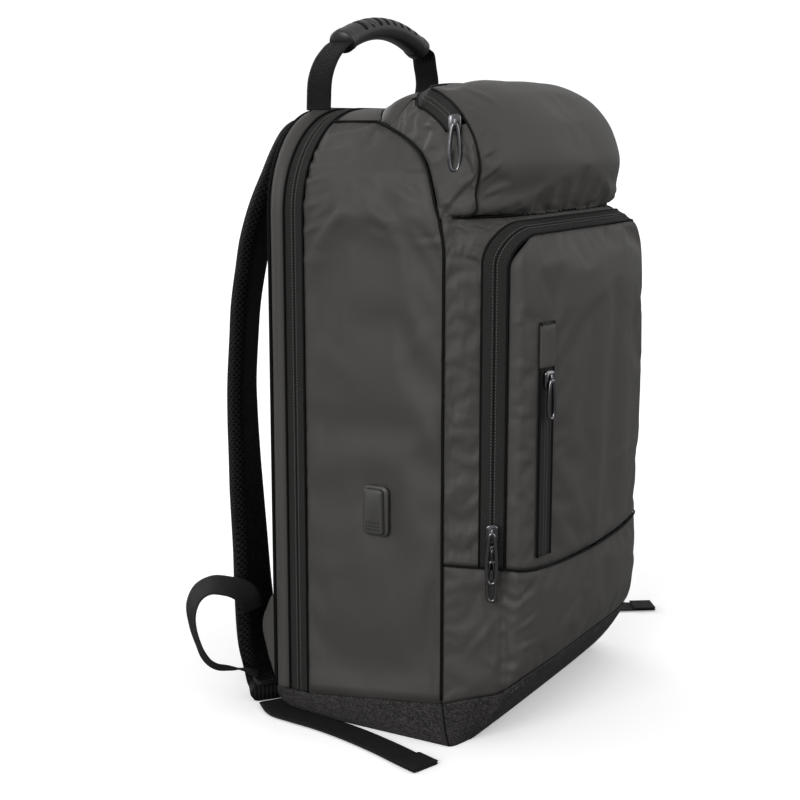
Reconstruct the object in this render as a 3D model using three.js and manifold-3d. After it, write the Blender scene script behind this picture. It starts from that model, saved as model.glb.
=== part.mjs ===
// Laptop backpack standing on the floor, in millimetres, +Z up.
// The front faces -Y and the shoulder straps +Y. The bag's left side in the front view is -X.
// The origin is the middle of the underside of the base.
import * as THREE from "three";
import { mergeVertices } from "three/addons/utils/BufferGeometryUtils.js";
import Module from "manifold-3d";

const wasm = await Module();
wasm.setup();

// Cloth, seams and zips
const clothThickness = 1.6;
const tapeThickness = 1.3;
const webbingThickness = 1.5;
const webbingWidth = 25;
const seamGap = 0.4;
const restGap = 0.3;
const zipWidth = 17;
const zipSink = 0.8;
const pipingRadius = 1.3;

// Main bag
const bagWidth = 275;
const bagHeight = 474;
const backY = 94;
const frontSeamY = -55;
const seamTopY = 22;
const frontTaper = 2.5;
const sideBulge = 3;
const cornerRadius = 78;
const zipCornerRadius = 84;
const backCornerRadius = 70;
const rearGussetDepth = 12.5;
const backPanelThickness = 2.6;
const seamTurn = 60;

// Base tray
const baseThickness = 2;
const baseRimSide = 18;
const baseRimCorner = 32;
const baseRimFront = 57;
const footInset = 6.5;
const footFrontY = -71;
const footCornerY = -62;
const footBackY = 67;

// Front pocket
const pocketFrontY = -121;
const pocketDrop = 4;
const pocketCornerRadius = 29;
const pocketTopY = -92;
const zipSlope = 8;
const zipRise = 8;
const lowSeamHeight = 141;
const lowSeamDip = 9;
const lowSeamMiddleX = 30;
const slotInset = 45.5;
const slotWidth = 18;
const slotDrop = 71;
const slotLength = 175;
const garageLength = 28;

// Top pocket
const topSeamRise = 1;
const topSeamBow = 35;
const crossSeamBow = 17;
const rollRise = 21;
const rollFrontY = -102;

// Back pads and corner tabs
const padThickness = 14;
const padBevel = 3.5;
const padHalfWidth = 118;
const padRadius = 16;
const tabReach = 12;
const tabHeight = 70;
const tabThickness = 5;

// Shoulder straps and their webbing
const strapWidth = 60;
const strapThickness = 13;
const strapReach = 66;
const lockWidth = 31;
const lockLength = 17;
const lockThickness = 3.6;
const lockBar = 1.6;
const loopReach = 68;
const loopTop = 104;
const loopTurn = 30;
const tailFold = 20;

// Carry handle
const handleRise = 62;
const handleY = 80;
const handleFootY = 84;
const handleShift = 5;
const gripHalfLength = 62;
const gripDrop = 14;
const gripWidth = 23;
const gripDepth = 19;
const slotCount = 8;
const slotPitch = 11;
const slotOpening = 4;
const slotDepth = 4.5;
const handleFootSpan = 167;

// Zip sliders, pulls and the port cover
const sliderWidth = 9;
const sliderLength = 14;
const sliderThickness = 4;
const pullLength = 32;
const pullWidth = 10;
const pullBar = 2.2;
const pullThickness = 2;
const pullHang = 16;
const lowPullHang = 18;
const slotPullTurn = 28;
const frontPullTurn = 64;
const topPullTurn = 62;
const frontPullProud = 3.2;
const lowPullProud = 0.6;
const topPullProud = 5.5;
const portWidth = 22;
const portHeight = 39;
const portDepth = 5;
const portY = 0;
const portZ = 176.5;
const portBevel = 1.6;
const portSeat = 0.6;

// Worked out from the sizes above
const halfWidth = bagWidth / 2;
const zipRearY = backY - rearGussetDepth;
const zipFrontY = zipRearY - zipWidth;
const cornerStart = bagHeight - cornerRadius;
const footHalfWidth = halfWidth - footInset;
const rollTop = bagHeight + rollRise;
const topSeamHeight = cornerStart + topSeamRise;
const pocketTop = topSeamHeight - pocketDrop;
const slotTop = pocketTop - slotDrop;
const slotCentreX = slotInset - halfWidth;
const pocketDepth = frontSeamY - pocketFrontY;
const seamSpan = seamTopY - frontSeamY;
const seamEnd = 1 + seamTurn / 90;
const frontHalf = halfWidth - frontTaper;
const backPanelY = backY + restGap + backPanelThickness;
const padBackY = backPanelY + restGap;
const padFaceY = padBackY + padThickness;

const vec = (x, y, z) => new THREE.Vector3(x, y, z);
const { lerp, clamp, degToRad, smoothstep } = THREE.MathUtils;

// Tables

// The seam between side and front: rise is 0 at the floor, 1 where the corner starts, 2 where it ends,
// and back is the share of the way from the upright front seam to the seam across the top
const seamSweep = [
  { rise: 0, back: 0 },
  { rise: 0.94, back: 0 },
  { rise: 1, back: 0.065 },
  { rise: 1.17, back: 0.15 },
  { rise: 1.28, back: 0.22 },
  { rise: 1.4, back: 0.36 },
  { rise: 1.52, back: 0.6 },
  { rise: 1.61, back: 0.84 },
  { rise: seamEnd, back: 1 },
];

// Half of the front seen from above, from the side seam to the middle: out is a share of the half
// width, deep a share of the front pocket's depth and hem a share of the base rim's full height
const frontSection = [
  { out: 1, deep: 0, hem: 0.56 },
  { out: 0.918, deep: 0.364, hem: 0.65 },
  { out: 0.86, deep: 0.62, hem: 0.71 },
  { out: 0.848, deep: 0.76, hem: 0.81 },
  { out: 0.79, deep: 0.865, hem: 0.9 },
  { out: 0.66, deep: 0.925, hem: 0.95 },
  { out: 0.38, deep: 0.98, hem: 0.98 },
  { out: 0, deep: 1, hem: 1 },
];

// How full the front pocket is: up is a share of its height and full of its depth
const pocketFullness = [
  { up: 0, full: 0.9 },
  { up: 0.05, full: 0.97 },
  { up: 0.15, full: 1 },
  { up: 0.82, full: 1 },
  { up: 0.93, full: 0.96 },
  { up: 1, full: 0.79 },
];

// The top pocket from the seam across the top, over the roll, to the seam above the front pocket.
// rise says where each line starts on the side seam. At the roll's end out is a share of the half
// width. back and up are shares of the roll's depth and height, at its end and in its middle
const rollLines = [
  { rise: seamEnd, out: 0.67, endBack: 1, endUp: 0.715, back: 1, up: 0.785 },
  { rise: 1.64, out: 0.7, endBack: 0.87, endUp: 0.8, back: 0.87, up: 0.86 },
  { rise: 1.61, out: 0.73, endBack: 0.745, endUp: 0.865, back: 0.775, up: 0.92 },
  { rise: 1.57, out: 0.757, endBack: 0.63, endUp: 0.93, back: 0.645, up: 0.97 },
  { rise: 1.52, out: 0.815, endBack: 0.468, endUp: 0.85, back: 0.46, up: 1 },
  { rise: 1.4, out: 0.88, endBack: 0.323, endUp: 0.714, back: 0.242, up: 0.908 },
  { rise: 1.27, out: 0.91, endBack: 0.226, endUp: 0.53, back: 0.073, up: 0.663 },
  { rise: 1.16, out: 0.917, endBack: 0.194, endUp: 0.357, back: 0, up: 0.367 },
  { rise: 1.06, out: 0.917, endBack: 0.218, endUp: 0.163, back: 0.032, up: 0.143 },
  { rise: 1, out: 0.92, endBack: 0, endUp: 0, back: 0, up: 0 },
];

// A shoulder strap's middle line: up is a share of the bag's height, out of its half width and back of
// the strap's reach. turn is the angle of its width in degrees and wide a share of its full width
const strapLine = [
  { up: 0.974, out: 0.364, back: 0.2, turn: 0, wide: 0.9 },
  { up: 0.966, out: 0.407, back: 0.285, turn: 2, wide: 0.95 },
  { up: 0.952, out: 0.436, back: 0.355, turn: 4, wide: 1 },
  { up: 0.928, out: 0.48, back: 0.425, turn: 7, wide: 1 },
  { up: 0.894, out: 0.524, back: 0.515, turn: 11, wide: 1 },
  { up: 0.844, out: 0.582, back: 0.635, turn: 14, wide: 1 },
  { up: 0.789, out: 0.625, back: 0.745, turn: 18, wide: 1 },
  { up: 0.734, out: 0.64, back: 0.82, turn: 20, wide: 1 },
  { up: 0.675, out: 0.655, back: 0.88, turn: 21, wide: 1 },
  { up: 0.618, out: 0.662, back: 0.91, turn: 22, wide: 1 },
  { up: 0.538, out: 0.669, back: 0.945, turn: 22, wide: 1 },
  { up: 0.475, out: 0.676, back: 0.935, turn: 21, wide: 1 },
  { up: 0.422, out: 0.684, back: 0.91, turn: 20, wide: 1 },
  { up: 0.359, out: 0.698, back: 0.87, turn: 18, wide: 1 },
  { up: 0.255, out: 0.713, back: 0.8, turn: 15, wide: 0.97 },
  { up: 0.175, out: 0.727, back: 0.75, turn: 10, wide: 0.92 },
  { up: 0.095, out: 0.745, back: 0.67, turn: 2, wide: 0.84 },
  { up: 0.05, out: 0.75, back: 0.58, turn: -8, wide: 0.76 },
  { up: 0.022, out: 0.765, back: 0.49, turn: -20, wide: 0.7 },
  { up: 0.0145, out: 0.8, back: 0.38, turn: -32, wide: 0.68 },
  { up: 0.0142, out: 0.865, back: 0.26, turn: -36, wide: 0.68 },
  { up: 0.0142, out: 0.91, back: 0.175, turn: -38, wide: 0.68 },
];

// The adjusting loop of webbing, from the corner tab round to the ladder lock: out is a share of the
// half width, back of the loop's reach behind the back panel and up of its height. show is how much of
// the webbing's width faces across the loop
const loopLine = [
  { out: 1.03, back: 0.31, up: 0.76, show: 0.6 },
  { out: 1.04, back: 0.32, up: 0.855, show: 0.58 },
  { out: 1.06, back: 0.41, up: 0.92, show: 0.46 },
  { out: 1.09, back: 0.57, up: 0.95, show: 0.36 },
  { out: 1.115, back: 0.77, up: 0.945, show: 0.36 },
  { out: 1.135, back: 0.94, up: 0.87, show: 0.42 },
  { out: 1.15, back: 1.02, up: 0.74, show: 0.45 },
  { out: 1.145, back: 1.01, up: 0.59, show: 0.4 },
  { out: 1.125, back: 0.96, up: 0.44, show: 0.4 },
  { out: 1.1, back: 0.89, up: 0.32, show: 0.5 },
  { out: 1.07, back: 0.79, up: 0.26, show: 0.55 },
  { out: 1.035, back: 0.66, up: 0.25, show: 0.5 },
  { out: 1, back: 0.49, up: 0.245, show: 0.3 },
  { out: 0.955, back: 0.34, up: 0.212, show: 0.12 },
];

// The free tails of webbing on the floor, from the ladder lock to the tip: out is a share of the bag's half
// width, back of the distance to its back and lift of the webbing's thickness
const leftTail = [
  { out: -0.989, back: 1.053, lift: 2.8 },
  { out: -1.055, back: 0.904, lift: 0.8 },
  { out: -1.073, back: 0.723, lift: 0.73 },
  { out: -1.091, back: 0.426, lift: 0.73 },
  { out: -1.135, back: 0.085, lift: 0.73 },
  { out: -1.2, back: -0.255, lift: 0.73 },
  { out: -1.255, back: -0.489, lift: 0.73 },
  { out: -1.302, back: -0.702, lift: 0.73 },
];
const rightTail = [
  { out: 1.004, back: 1.053, lift: 2.8 },
  { out: 1.087, back: 0.904, lift: 0.8 },
  { out: 1.149, back: 0.723, lift: 0.73 },
  { out: 1.251, back: 0.426, lift: 0.73 },
  { out: 1.404, back: 0.064, lift: 0.73 },
  { out: 1.549, back: -0.277, lift: 0.73 },
  { out: 1.687, back: -0.574, lift: 0.73 },
  { out: 1.818, back: -0.851, lift: 0.73 },
];

// Value of one column of a table at a place in another, straight between its rows
function lookUp(table, key, place, column) {
  const found = table.findIndex((row) => row[key] >= place);
  const next = found < 0 ? table.length - 1 : Math.max(found, 1);
  const [a, b] = [table[next - 1], table[next]];
  const share = clamp((place - a[key]) / (b[key] - a[key]), 0, 1);
  return lerp(a[column], b[column], share);
}

// Closed solids

// A geometry of points and triangles, turned so that its faces point out
function closedGeometry(points, triangles) {
  let volume = 0;
  for (let i = 0; i < triangles.length; i += 3) {
    const [a, b, c] = [points[triangles[i]], points[triangles[i + 1]], points[triangles[i + 2]]];
    volume += a.dot(b.clone().cross(c));
  }
  const facing = volume < 0 ? triangles.slice().reverse() : triangles;
  const geometry = new THREE.BufferGeometry().setFromPoints(points);
  geometry.setIndex(facing);
  geometry.computeVertexNormals();
  return geometry;
}

// A closed solid between two grids of points with the same rows and columns
function solidBetween(outer, inner) {
  const rows = outer.length;
  const columns = outer[0].length;
  const half = rows * columns;
  const triangles = [];
  const quad = (a, b, c, d) => triangles.push(a, b, c, a, c, d);
  for (let r = 0; r < rows - 1; r++) {
    for (let c = 0; c < columns - 1; c++) {
      const a = r * columns + c;
      const d = a + columns;
      quad(a, a + 1, d + 1, d);
      quad(half + a, half + d, half + d + 1, half + a + 1);
    }
  }
  for (let c = 0; c < columns - 1; c++) {
    const last = (rows - 1) * columns + c;
    quad(c + 1, c, half + c, half + c + 1);
    quad(last, last + 1, half + last + 1, half + last);
  }
  for (let r = 0; r < rows - 1; r++) {
    const first = r * columns;
    const last = first + columns - 1;
    quad(first, first + columns, half + first + columns, half + first);
    quad(last + columns, last, half + last, half + last + columns);
  }
  return closedGeometry([...outer.flat(), ...inner.flat()], triangles);
}

// The direction across a grid of points at one of them
function gridNormal(grid, r, c) {
  const up = grid[Math.min(r + 1, grid.length - 1)][c].clone().sub(grid[Math.max(r - 1, 0)][c]);
  const row = grid[r];
  const along = row[Math.min(c + 1, row.length - 1)].clone().sub(row[Math.max(c - 1, 0)]);
  return up.cross(along).normalize();
}

// A sheet of cloth: its outer face is the grid, and its thickness lies towards the given point
function sheet(grid, thickness, towards) {
  const r = Math.floor(grid.length / 2);
  const c = Math.floor(grid[0].length / 2);
  const facing = gridNormal(grid, r, c).dot(towards.clone().sub(grid[r][c])) < 0 ? -1 : 1;
  const inner = grid.map((row, i) =>
    row.map((point, j) => point.clone().addScaledVector(gridNormal(grid, i, j), thickness * facing)),
  );
  return solidBetween(grid, inner);
}

// A closed solid through rings of points, with flat ends
function solidThrough(rings) {
  const count = rings[0].length;
  const last = (rings.length - 1) * count;
  const triangles = [];
  for (let i = 0; i < rings.length - 1; i++) {
    for (let j = 0; j < count; j++) {
      const a = i * count + j;
      const b = i * count + ((j + 1) % count);
      triangles.push(a, b, b + count, a, b + count, a + count);
    }
  }
  for (let j = 1; j < count - 1; j++) {
    triangles.push(0, j + 1, j, last, last + j, last + j + 1);
  }
  return closedGeometry(rings.flat(), triangles);
}

// An open tray: matching rings of its outer and inner face from the rim down, each closed at its middle
function tray(outer, inner) {
  const count = outer[0].length;
  const points = [...outer.flat(), ...inner.flat()];
  const half = outer.length * count;
  const triangles = [];
  const quad = (a, b, c, d) => triangles.push(a, b, c, a, c, d);
  for (let j = 0; j < count; j++) {
    const k = (j + 1) % count;
    quad(k, j, half + j, half + k);
    for (let i = 0; i < outer.length - 1; i++) {
      const [a, b] = [i * count + j, i * count + k];
      quad(a, b, b + count, a + count);
      quad(half + a, half + a + count, half + b + count, half + b);
    }
    const bottom = (outer.length - 1) * count;
    triangles.push(bottom + j, bottom + k, points.length);
    triangles.push(half + bottom + k, half + bottom + j, points.length + 1);
  }
  const middle = (ring) => ring.reduce((sum, point) => sum.add(point), vec(0, 0, 0)).divideScalar(count);
  points.push(middle(outer.at(-1)), middle(inner.at(-1)));
  return closedGeometry(points, triangles);
}

// A strip of even thickness along stations that give its middle, its width direction and its width
function strip(stations, thickness, edge = 0) {
  const rings = stations.map((station, i) => {
    const before = stations[Math.max(i - 1, 0)].middle;
    const after = stations[Math.min(i + 1, stations.length - 1)].middle;
    const along = after.clone().sub(before).normalize();
    const across = station.across.clone().normalize();
    const normal = along.clone().cross(across).normalize();
    const w = station.width / 2;
    const t = thickness / 2;
    const soft = [[edge - w, -t], [w - edge, -t], [w, -t / 3], [w, t / 3], [w - edge, t], [edge - w, t]];
    const rounded = [...soft, [-w, t / 3], [-w, -t / 3]];
    const corners = edge > 0 ? rounded : [[-w, -t], [w, -t], [w, t], [-w, t]];
    const at = ([a, b]) => station.middle.clone().addScaledVector(across, a).addScaledVector(normal, b);
    return corners.map(at);
  });
  return solidThrough(rings);
}

// Booleans

function toManifold(geometry) {
  const plain = geometry.index ? geometry.toNonIndexed() : geometry.clone();
  plain.deleteAttribute("normal");
  plain.deleteAttribute("uv");
  const merged = mergeVertices(plain, 1e-4);
  return new wasm.Manifold(
    new wasm.Mesh({
      numProp: 3,
      vertProperties: new Float32Array(merged.attributes.position.array),
      triVerts: new Uint32Array(merged.index.array),
    }),
  );
}

function toGeometry(solid) {
  const mesh = solid.getMesh();
  const geometry = new THREE.BufferGeometry();
  geometry.setAttribute("position", new THREE.BufferAttribute(new Float32Array(mesh.vertProperties), 3));
  geometry.setIndex([...mesh.triVerts]);
  geometry.computeVertexNormals();
  return geometry;
}

// Materials

const cloth = new THREE.MeshStandardMaterial({ color: 0x4a4946, roughness: 0.55 });
const ballistic = new THREE.MeshStandardMaterial({ color: 0x322f30, roughness: 0.9 });
const airMesh = new THREE.MeshStandardMaterial({ color: 0x1c1c1e, roughness: 0.95 });
const webbing = new THREE.MeshStandardMaterial({ color: 0x161414, roughness: 0.8 });
const zipTape = new THREE.MeshStandardMaterial({ color: 0x383736, roughness: 0.75 });
const gunmetal = new THREE.MeshStandardMaterial({ color: 0x3a3a3c, roughness: 0.25, metalness: 1 });
const rubber = new THREE.MeshStandardMaterial({ color: 0x3c3c3c, roughness: 0.6 });
const plastic = new THREE.MeshStandardMaterial({ color: 0x2b2b2b, roughness: 0.5 });

const backpack = new THREE.Group();

function add(name, geometry, material) {
  const mesh = new THREE.Mesh(geometry, material);
  mesh.name = name;
  backpack.add(mesh);
  return mesh;
}

const sides = [
  { word: "left", sign: -1 },
  { word: "right", sign: 1 },
];

// The bag's outline: sign is the side, rise is 0 to 1 up the straight side, 1 to 2 round the corner
// and 2 to 3 along the flat top to the middle

function cornerRadiusAt(y) {
  const toZip = clamp((y - seamTopY) / (zipFrontY - seamTopY), 0, 1);
  const toBack = clamp((y - zipRearY) / (backY - zipRearY), 0, 1);
  return lerp(lerp(cornerRadius, zipCornerRadius, toZip), backCornerRadius, toBack);
}

function halfWidthAt(y) {
  return halfWidth - frontTaper * clamp((zipFrontY - y) / (zipFrontY - frontSeamY), 0, 1);
}

function outline(sign, rise, y, inset = 0) {
  const radius = cornerRadiusAt(y);
  const width = halfWidthAt(y);
  const centreZ = bagHeight - radius;
  if (rise <= 1) {
    return vec(sign * (width - inset), y, rise * cornerStart);
  }
  if (rise <= 2) {
    const angle = degToRad((rise - 1) * 90);
    const shift = (1 - Math.sin(angle)) * (centreZ - cornerStart);
    const x = width - radius + (radius - inset) * Math.cos(angle);
    return vec(sign * x, y, centreZ - shift + (radius - inset) * Math.sin(angle));
  }
  return vec(sign * (width - radius) * (3 - rise), y, bagHeight - inset);
}

const seamY = (rise) => frontSeamY + seamSpan * lookUp(seamSweep, "rise", rise, "back");

// Height of the base tray's rim beside the side panels
function rimHeight(y) {
  const forward = clamp((zipFrontY - y) / (zipFrontY - frontSeamY), 0, 1);
  return lerp(baseRimSide, baseRimCorner, forward);
}

const rimRise = (y) => (rimHeight(y) + seamGap) / cornerStart;

// Side panels

function sidePanel(sign) {
  const straight = [0, 0.2, 0.4, 0.6, 0.8, 0.94];
  const turned = [1, 1.17, 1.28, 1.4, 1.52, 1.61, seamEnd];
  const columns = 6;
  const rows = straight.length + turned.length;
  const grid = [];
  for (let r = 0; r < rows; r++) {
    const row = [];
    for (let c = 0; c <= columns; c++) {
      const share = c / columns;
      const climb = r < straight.length ? straight[r] : turned[r - straight.length];
      const front = seamY(climb) + 4.5 * seamGap;
      const y = lerp(zipFrontY - seamGap, front, share);
      const rise = r < straight.length ? lerp(rimRise(y), 1, climb) : climb;
      const swell = sideBulge * Math.sin(Math.PI * share) * Math.sin((Math.PI * r) / (rows - 1));
      row.push(outline(sign, rise, y, -swell));
    }
    grid.push(row);
  }
  return sheet(grid, clothThickness, vec(0, 0, bagHeight / 2));
}

for (const { word, sign } of sides) {
  add(`side_panel_${word}`, sidePanel(sign), cloth);
}

// Stations over the whole arch of the bag from one end to the other
function archStations(start, cornerSteps) {
  const half = [];
  const straightSteps = start < 1 ? 3 : 0;
  for (let i = 0; i < straightSteps; i++) {
    half.push(lerp(start, 1, i / straightSteps));
  }
  const first = Math.max(start, 1);
  for (let i = 0; i < cornerSteps; i++) {
    half.push(lerp(first, 2, i / cornerSteps));
  }
  half.push(2);
  const left = half.map((rise) => ({ sign: -1, rise }));
  const right = half.map((rise) => ({ sign: 1, rise })).reverse();
  return [...left, { sign: 1, rise: 3 }, ...right];
}

function archStrip(fromY, toY, columns, inset, thickness) {
  const grid = archStations(0, 7).map(({ sign, rise }) => {
    const row = [];
    for (let c = 0; c <= columns; c++) {
      const y = lerp(fromY, toY, c / columns);
      row.push(outline(sign, Math.max(rise, rimRise(y)), y, inset));
    }
    return row;
  });
  return sheet(grid, thickness, vec(0, (fromY + toY) / 2, cornerStart / 2));
}

// Top panel: between the zip and the seam across the top, which bows back in the middle

function archHeight(x, y) {
  const radius = cornerRadiusAt(y);
  const climb = clamp((Math.abs(x) - halfWidthAt(y) + radius) / radius, 0, 1);
  return bagHeight - radius + radius * Math.sqrt(1 - climb * climb);
}

const topAcross = [-1, -0.84, -0.6, -0.3, 0, 0.3, 0.6, 0.84, 1];

function crossSeam(across, room) {
  const x = across * rollLines[0].out * halfWidth;
  const y = seamTopY + crossSeamBow * (1 - across ** 4) + room;
  return vec(x, y, archHeight(x, y));
}

function topPanel() {
  const columns = 3;
  const edge = [-1, 1].map((sign) => outline(sign, seamEnd + 0.012, seamTopY + seamGap));
  const front = [edge[0], ...topAcross.slice(1, -1).map((across) => crossSeam(across, seamGap)), edge[1]];
  const grid = front.map((point, i) => {
    const row = [];
    for (let c = 0; c <= columns; c++) {
      const y = lerp(zipFrontY - seamGap, point.y, c / columns);
      const end = i === 0 || i === front.length - 1;
      row.push(end ? outline(Math.sign(point.x), seamEnd + 0.012, y) : vec(point.x, y, archHeight(point.x, y)));
    }
    return row;
  });
  return sheet(grid, clothThickness, vec(0, 0, 0));
}

add("top_panel", topPanel(), cloth);
add("main_zip_tape", archStrip(zipFrontY, zipRearY, 1, zipSink, tapeThickness), zipTape);
add("rear_gusset", archStrip(zipRearY + seamGap, backY - seamGap, 1, 0, clothThickness), cloth);

// Back panel: a stiffened plate behind the rear gusset

function backPanel() {
  const shape = new THREE.Shape();
  const low = rimRise(backY);
  const points = archStations(0, 7).map(({ sign, rise }) => outline(sign, Math.max(rise, low), backY));
  points.forEach((point, i) => (i === 0 ? shape.moveTo(point.x, point.z) : shape.lineTo(point.x, point.z)));
  shape.closePath();
  return new THREE.ExtrudeGeometry(shape, { depth: backPanelThickness, bevelEnabled: false });
}

const backPanelMesh = add("back_panel", backPanel(), airMesh);
backPanelMesh.rotation.x = Math.PI / 2;
backPanelMesh.position.y = backPanelY;

// Back pads: four moulded cushions of air mesh, each between two heights given as shares of the bag's
const padRows = [
  { low: 0.764, high: 0.935, narrow: 0 },
  { low: 0.575, high: 0.75, narrow: 0 },
  { low: 0.396, high: 0.553, narrow: 2 },
  { low: 0.163, high: 0.322, narrow: 6 },
];

function roundedRectangle(width, height, radius) {
  const [w, h] = [width / 2, height / 2];
  const shape = new THREE.Shape();
  shape.moveTo(-w + radius, -h);
  shape.lineTo(w - radius, -h);
  shape.absarc(w - radius, -h + radius, radius, -Math.PI / 2, 0, false);
  shape.lineTo(w, h - radius);
  shape.absarc(w - radius, h - radius, radius, 0, Math.PI / 2, false);
  shape.lineTo(-w + radius, h);
  shape.absarc(-w + radius, h - radius, radius, Math.PI / 2, Math.PI, false);
  shape.lineTo(-w, -h + radius);
  shape.absarc(-w + radius, -h + radius, radius, Math.PI, 1.5 * Math.PI, false);
  return shape;
}

padRows.forEach((pad, i) => {
  const width = 2 * (padHalfWidth - pad.narrow - padBevel);
  const height = (pad.high - pad.low) * bagHeight - 2 * padBevel;
  const geometry = new THREE.ExtrudeGeometry(roundedRectangle(width, height, padRadius), {
    depth: padThickness - 2 * padBevel,
    bevelEnabled: true,
    bevelThickness: padBevel,
    bevelSize: padBevel,
    bevelSegments: 2,
    curveSegments: 4,
  });
  const mesh = add(`back_pad_${i + 1}`, geometry, airMesh);
  mesh.rotation.x = Math.PI / 2;
  mesh.position.set(0, padFaceY - padBevel, ((pad.high + pad.low) / 2) * bagHeight);
});

// Front panel: the wall between the main compartment and the two pockets

function frontPanel() {
  const inset = clothThickness + 2 * seamGap;
  const columns = 4;
  const rises = [0.13, 0.5, 0.94, 1.06, 1.17, 1.28, 1.4, 1.52, 1.61, seamEnd];
  const grid = rises.map((rise) => {
    const y = seamY(rise) + inset;
    const edge = outline(-1, rise, y, inset);
    const arched = smoothstep(rise, 1.4, seamEnd);
    const row = [];
    for (let c = 0; c <= columns; c++) {
      const across = lerp(-1, 1, c / columns);
      const crown = lerp(0, bagHeight - inset - clothThickness - edge.z, arched * (1 - Math.abs(across)));
      row.push(vec(-edge.x * across, y, edge.z + crown));
    }
    return row;
  });
  return sheet(grid, clothThickness, vec(0, backY, 0));
}

add("front_panel", frontPanel(), cloth);

// Corner piping: a cord in the seam between side and front

function cornerPiping(sign) {
  const rises = [0.1, 0.4, 0.7, 0.9, 1, 1.1, 1.2, 1.3, 1.4, 1.5, 1.58, seamEnd];
  const points = rises.map((rise) => {
    const y = seamY(rise) + seamGap;
    return outline(sign, rise, y, -pipingRadius - seamGap);
  });
  const shape = new THREE.Shape();
  const sideCount = 6;
  for (let i = 0; i < sideCount; i++) {
    const angle = (i / sideCount) * 2 * Math.PI;
    const [x, y] = [pipingRadius * Math.cos(angle), pipingRadius * Math.sin(angle)];
    i === 0 ? shape.moveTo(x, y) : shape.lineTo(x, y);
  }
  shape.closePath();
  const curve = new THREE.CatmullRomCurve3(points);
  return new THREE.ExtrudeGeometry(shape, { steps: 28, bevelEnabled: false, extrudePath: curve });
}

for (const { word, sign } of sides) {
  add(`corner_piping_${word}`, cornerPiping(sign), webbing);
}

// Front pocket

// A point of the front at a height: the section is pulled in where the pocket is less full
function frontPoint(row, sign, z, up) {
  const full = lookUp(pocketFullness, "up", up, "full");
  return vec(sign * row.out * frontHalf, frontSeamY - seamGap - row.deep * full * pocketDepth, z);
}

const lowSeamZ = (x) => {
  const away = (x - lowSeamMiddleX) / (frontHalf + lowSeamMiddleX);
  return lowSeamHeight - lowSeamDip * (1 - away * away);
};

const mirrored = (table) => [
  ...table.map((row) => ({ row, sign: -1 })),
  ...table.slice(0, -1).reverse().map((row) => ({ row, sign: 1 })),
];

const frontMiddle = vec(0, 0, lowSeamHeight);
const lowShare = (lowSeamHeight - baseRimFront) / (pocketTop - baseRimFront);

// The lower face wraps the whole front from side seam to side seam
function lowerFace() {
  const shares = [0, 0.08, 0.25, 0.6, 1];
  const grid = shares.map((share) =>
    mirrored(frontSection).map(({ row, sign }) => {
      const top = lowSeamZ(sign * row.out * frontHalf) - seamGap / 2;
      const z = lerp(row.hem * baseRimFront + 2 * seamGap, top, share);
      return frontPoint(row, sign, z, share * lowShare);
    }),
  );
  return sheet(grid, clothThickness, frontMiddle);
}

add("front_pocket_lower", lowerFace(), cloth);

// Where the seam under the top pocket runs in front of the bag
const topSeamY = (x) => frontSeamY - seamGap + topSeamBow * (Math.abs(x / frontHalf) ** 5 - 1) + seamGap;

// The rim of the front pocket's zip: rise is 0 at the low seam, 1 at the corner, 2 after it and 3 in
// the middle of the top. inner is 0 on the outer edge of the tape and 1 on the inner edge
function pocketRim(sign, rise, inner) {
  const outerHalf = frontSection[1].out * frontHalf;
  const half = outerHalf - zipSlope * inner;
  const top = pocketTop - zipRise * inner;
  const radius = pocketCornerRadius - (zipSlope / 2) * inner;
  const sideY = frontSeamY - seamGap - lerp(frontSection[1].deep, frontSection[2].deep, inner) * pocketDepth;
  const topY = lerp(pocketTopY, frontSeamY - pocketDepth * pocketFullness.at(-1).full, inner);
  if (rise <= 1) {
    const x = sign * half;
    return vec(x, sideY, lerp(lowSeamZ(x) + seamGap / 2, top - radius, rise));
  }
  if (rise <= 2) {
    const angle = degToRad((rise - 1) * 90);
    const x = half - radius + radius * Math.cos(angle);
    return vec(sign * x, lerp(sideY, topY, smoothstep(rise, 1, 2)), top - radius + radius * Math.sin(angle));
  }
  return vec(sign * (half - radius) * (3 - rise), topY, top);
}

const rimRises = [0, 0.35, 0.7, 1, 1.25, 1.5, 1.75, 2, 2.4, 2.75];
const rimStations = [
  ...rimRises.map((rise) => ({ sign: -1, rise })),
  { sign: 1, rise: 3 },
  ...rimRises.map((rise) => ({ sign: 1, rise })).reverse(),
];

function pocketZipTape() {
  const grid = rimStations.map(({ sign, rise }) => {
    const [outer, inner] = [pocketRim(sign, rise, 0), pocketRim(sign, rise, 1)];
    const room = seamGap / outer.distanceTo(inner);
    return [outer.clone().lerp(inner, room), inner.clone().lerp(outer, room)];
  });
  return sheet(grid, tapeThickness, vec(0, 0, cornerStart / 2));
}

add("front_pocket_zip_tape", pocketZipTape(), zipTape);

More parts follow.
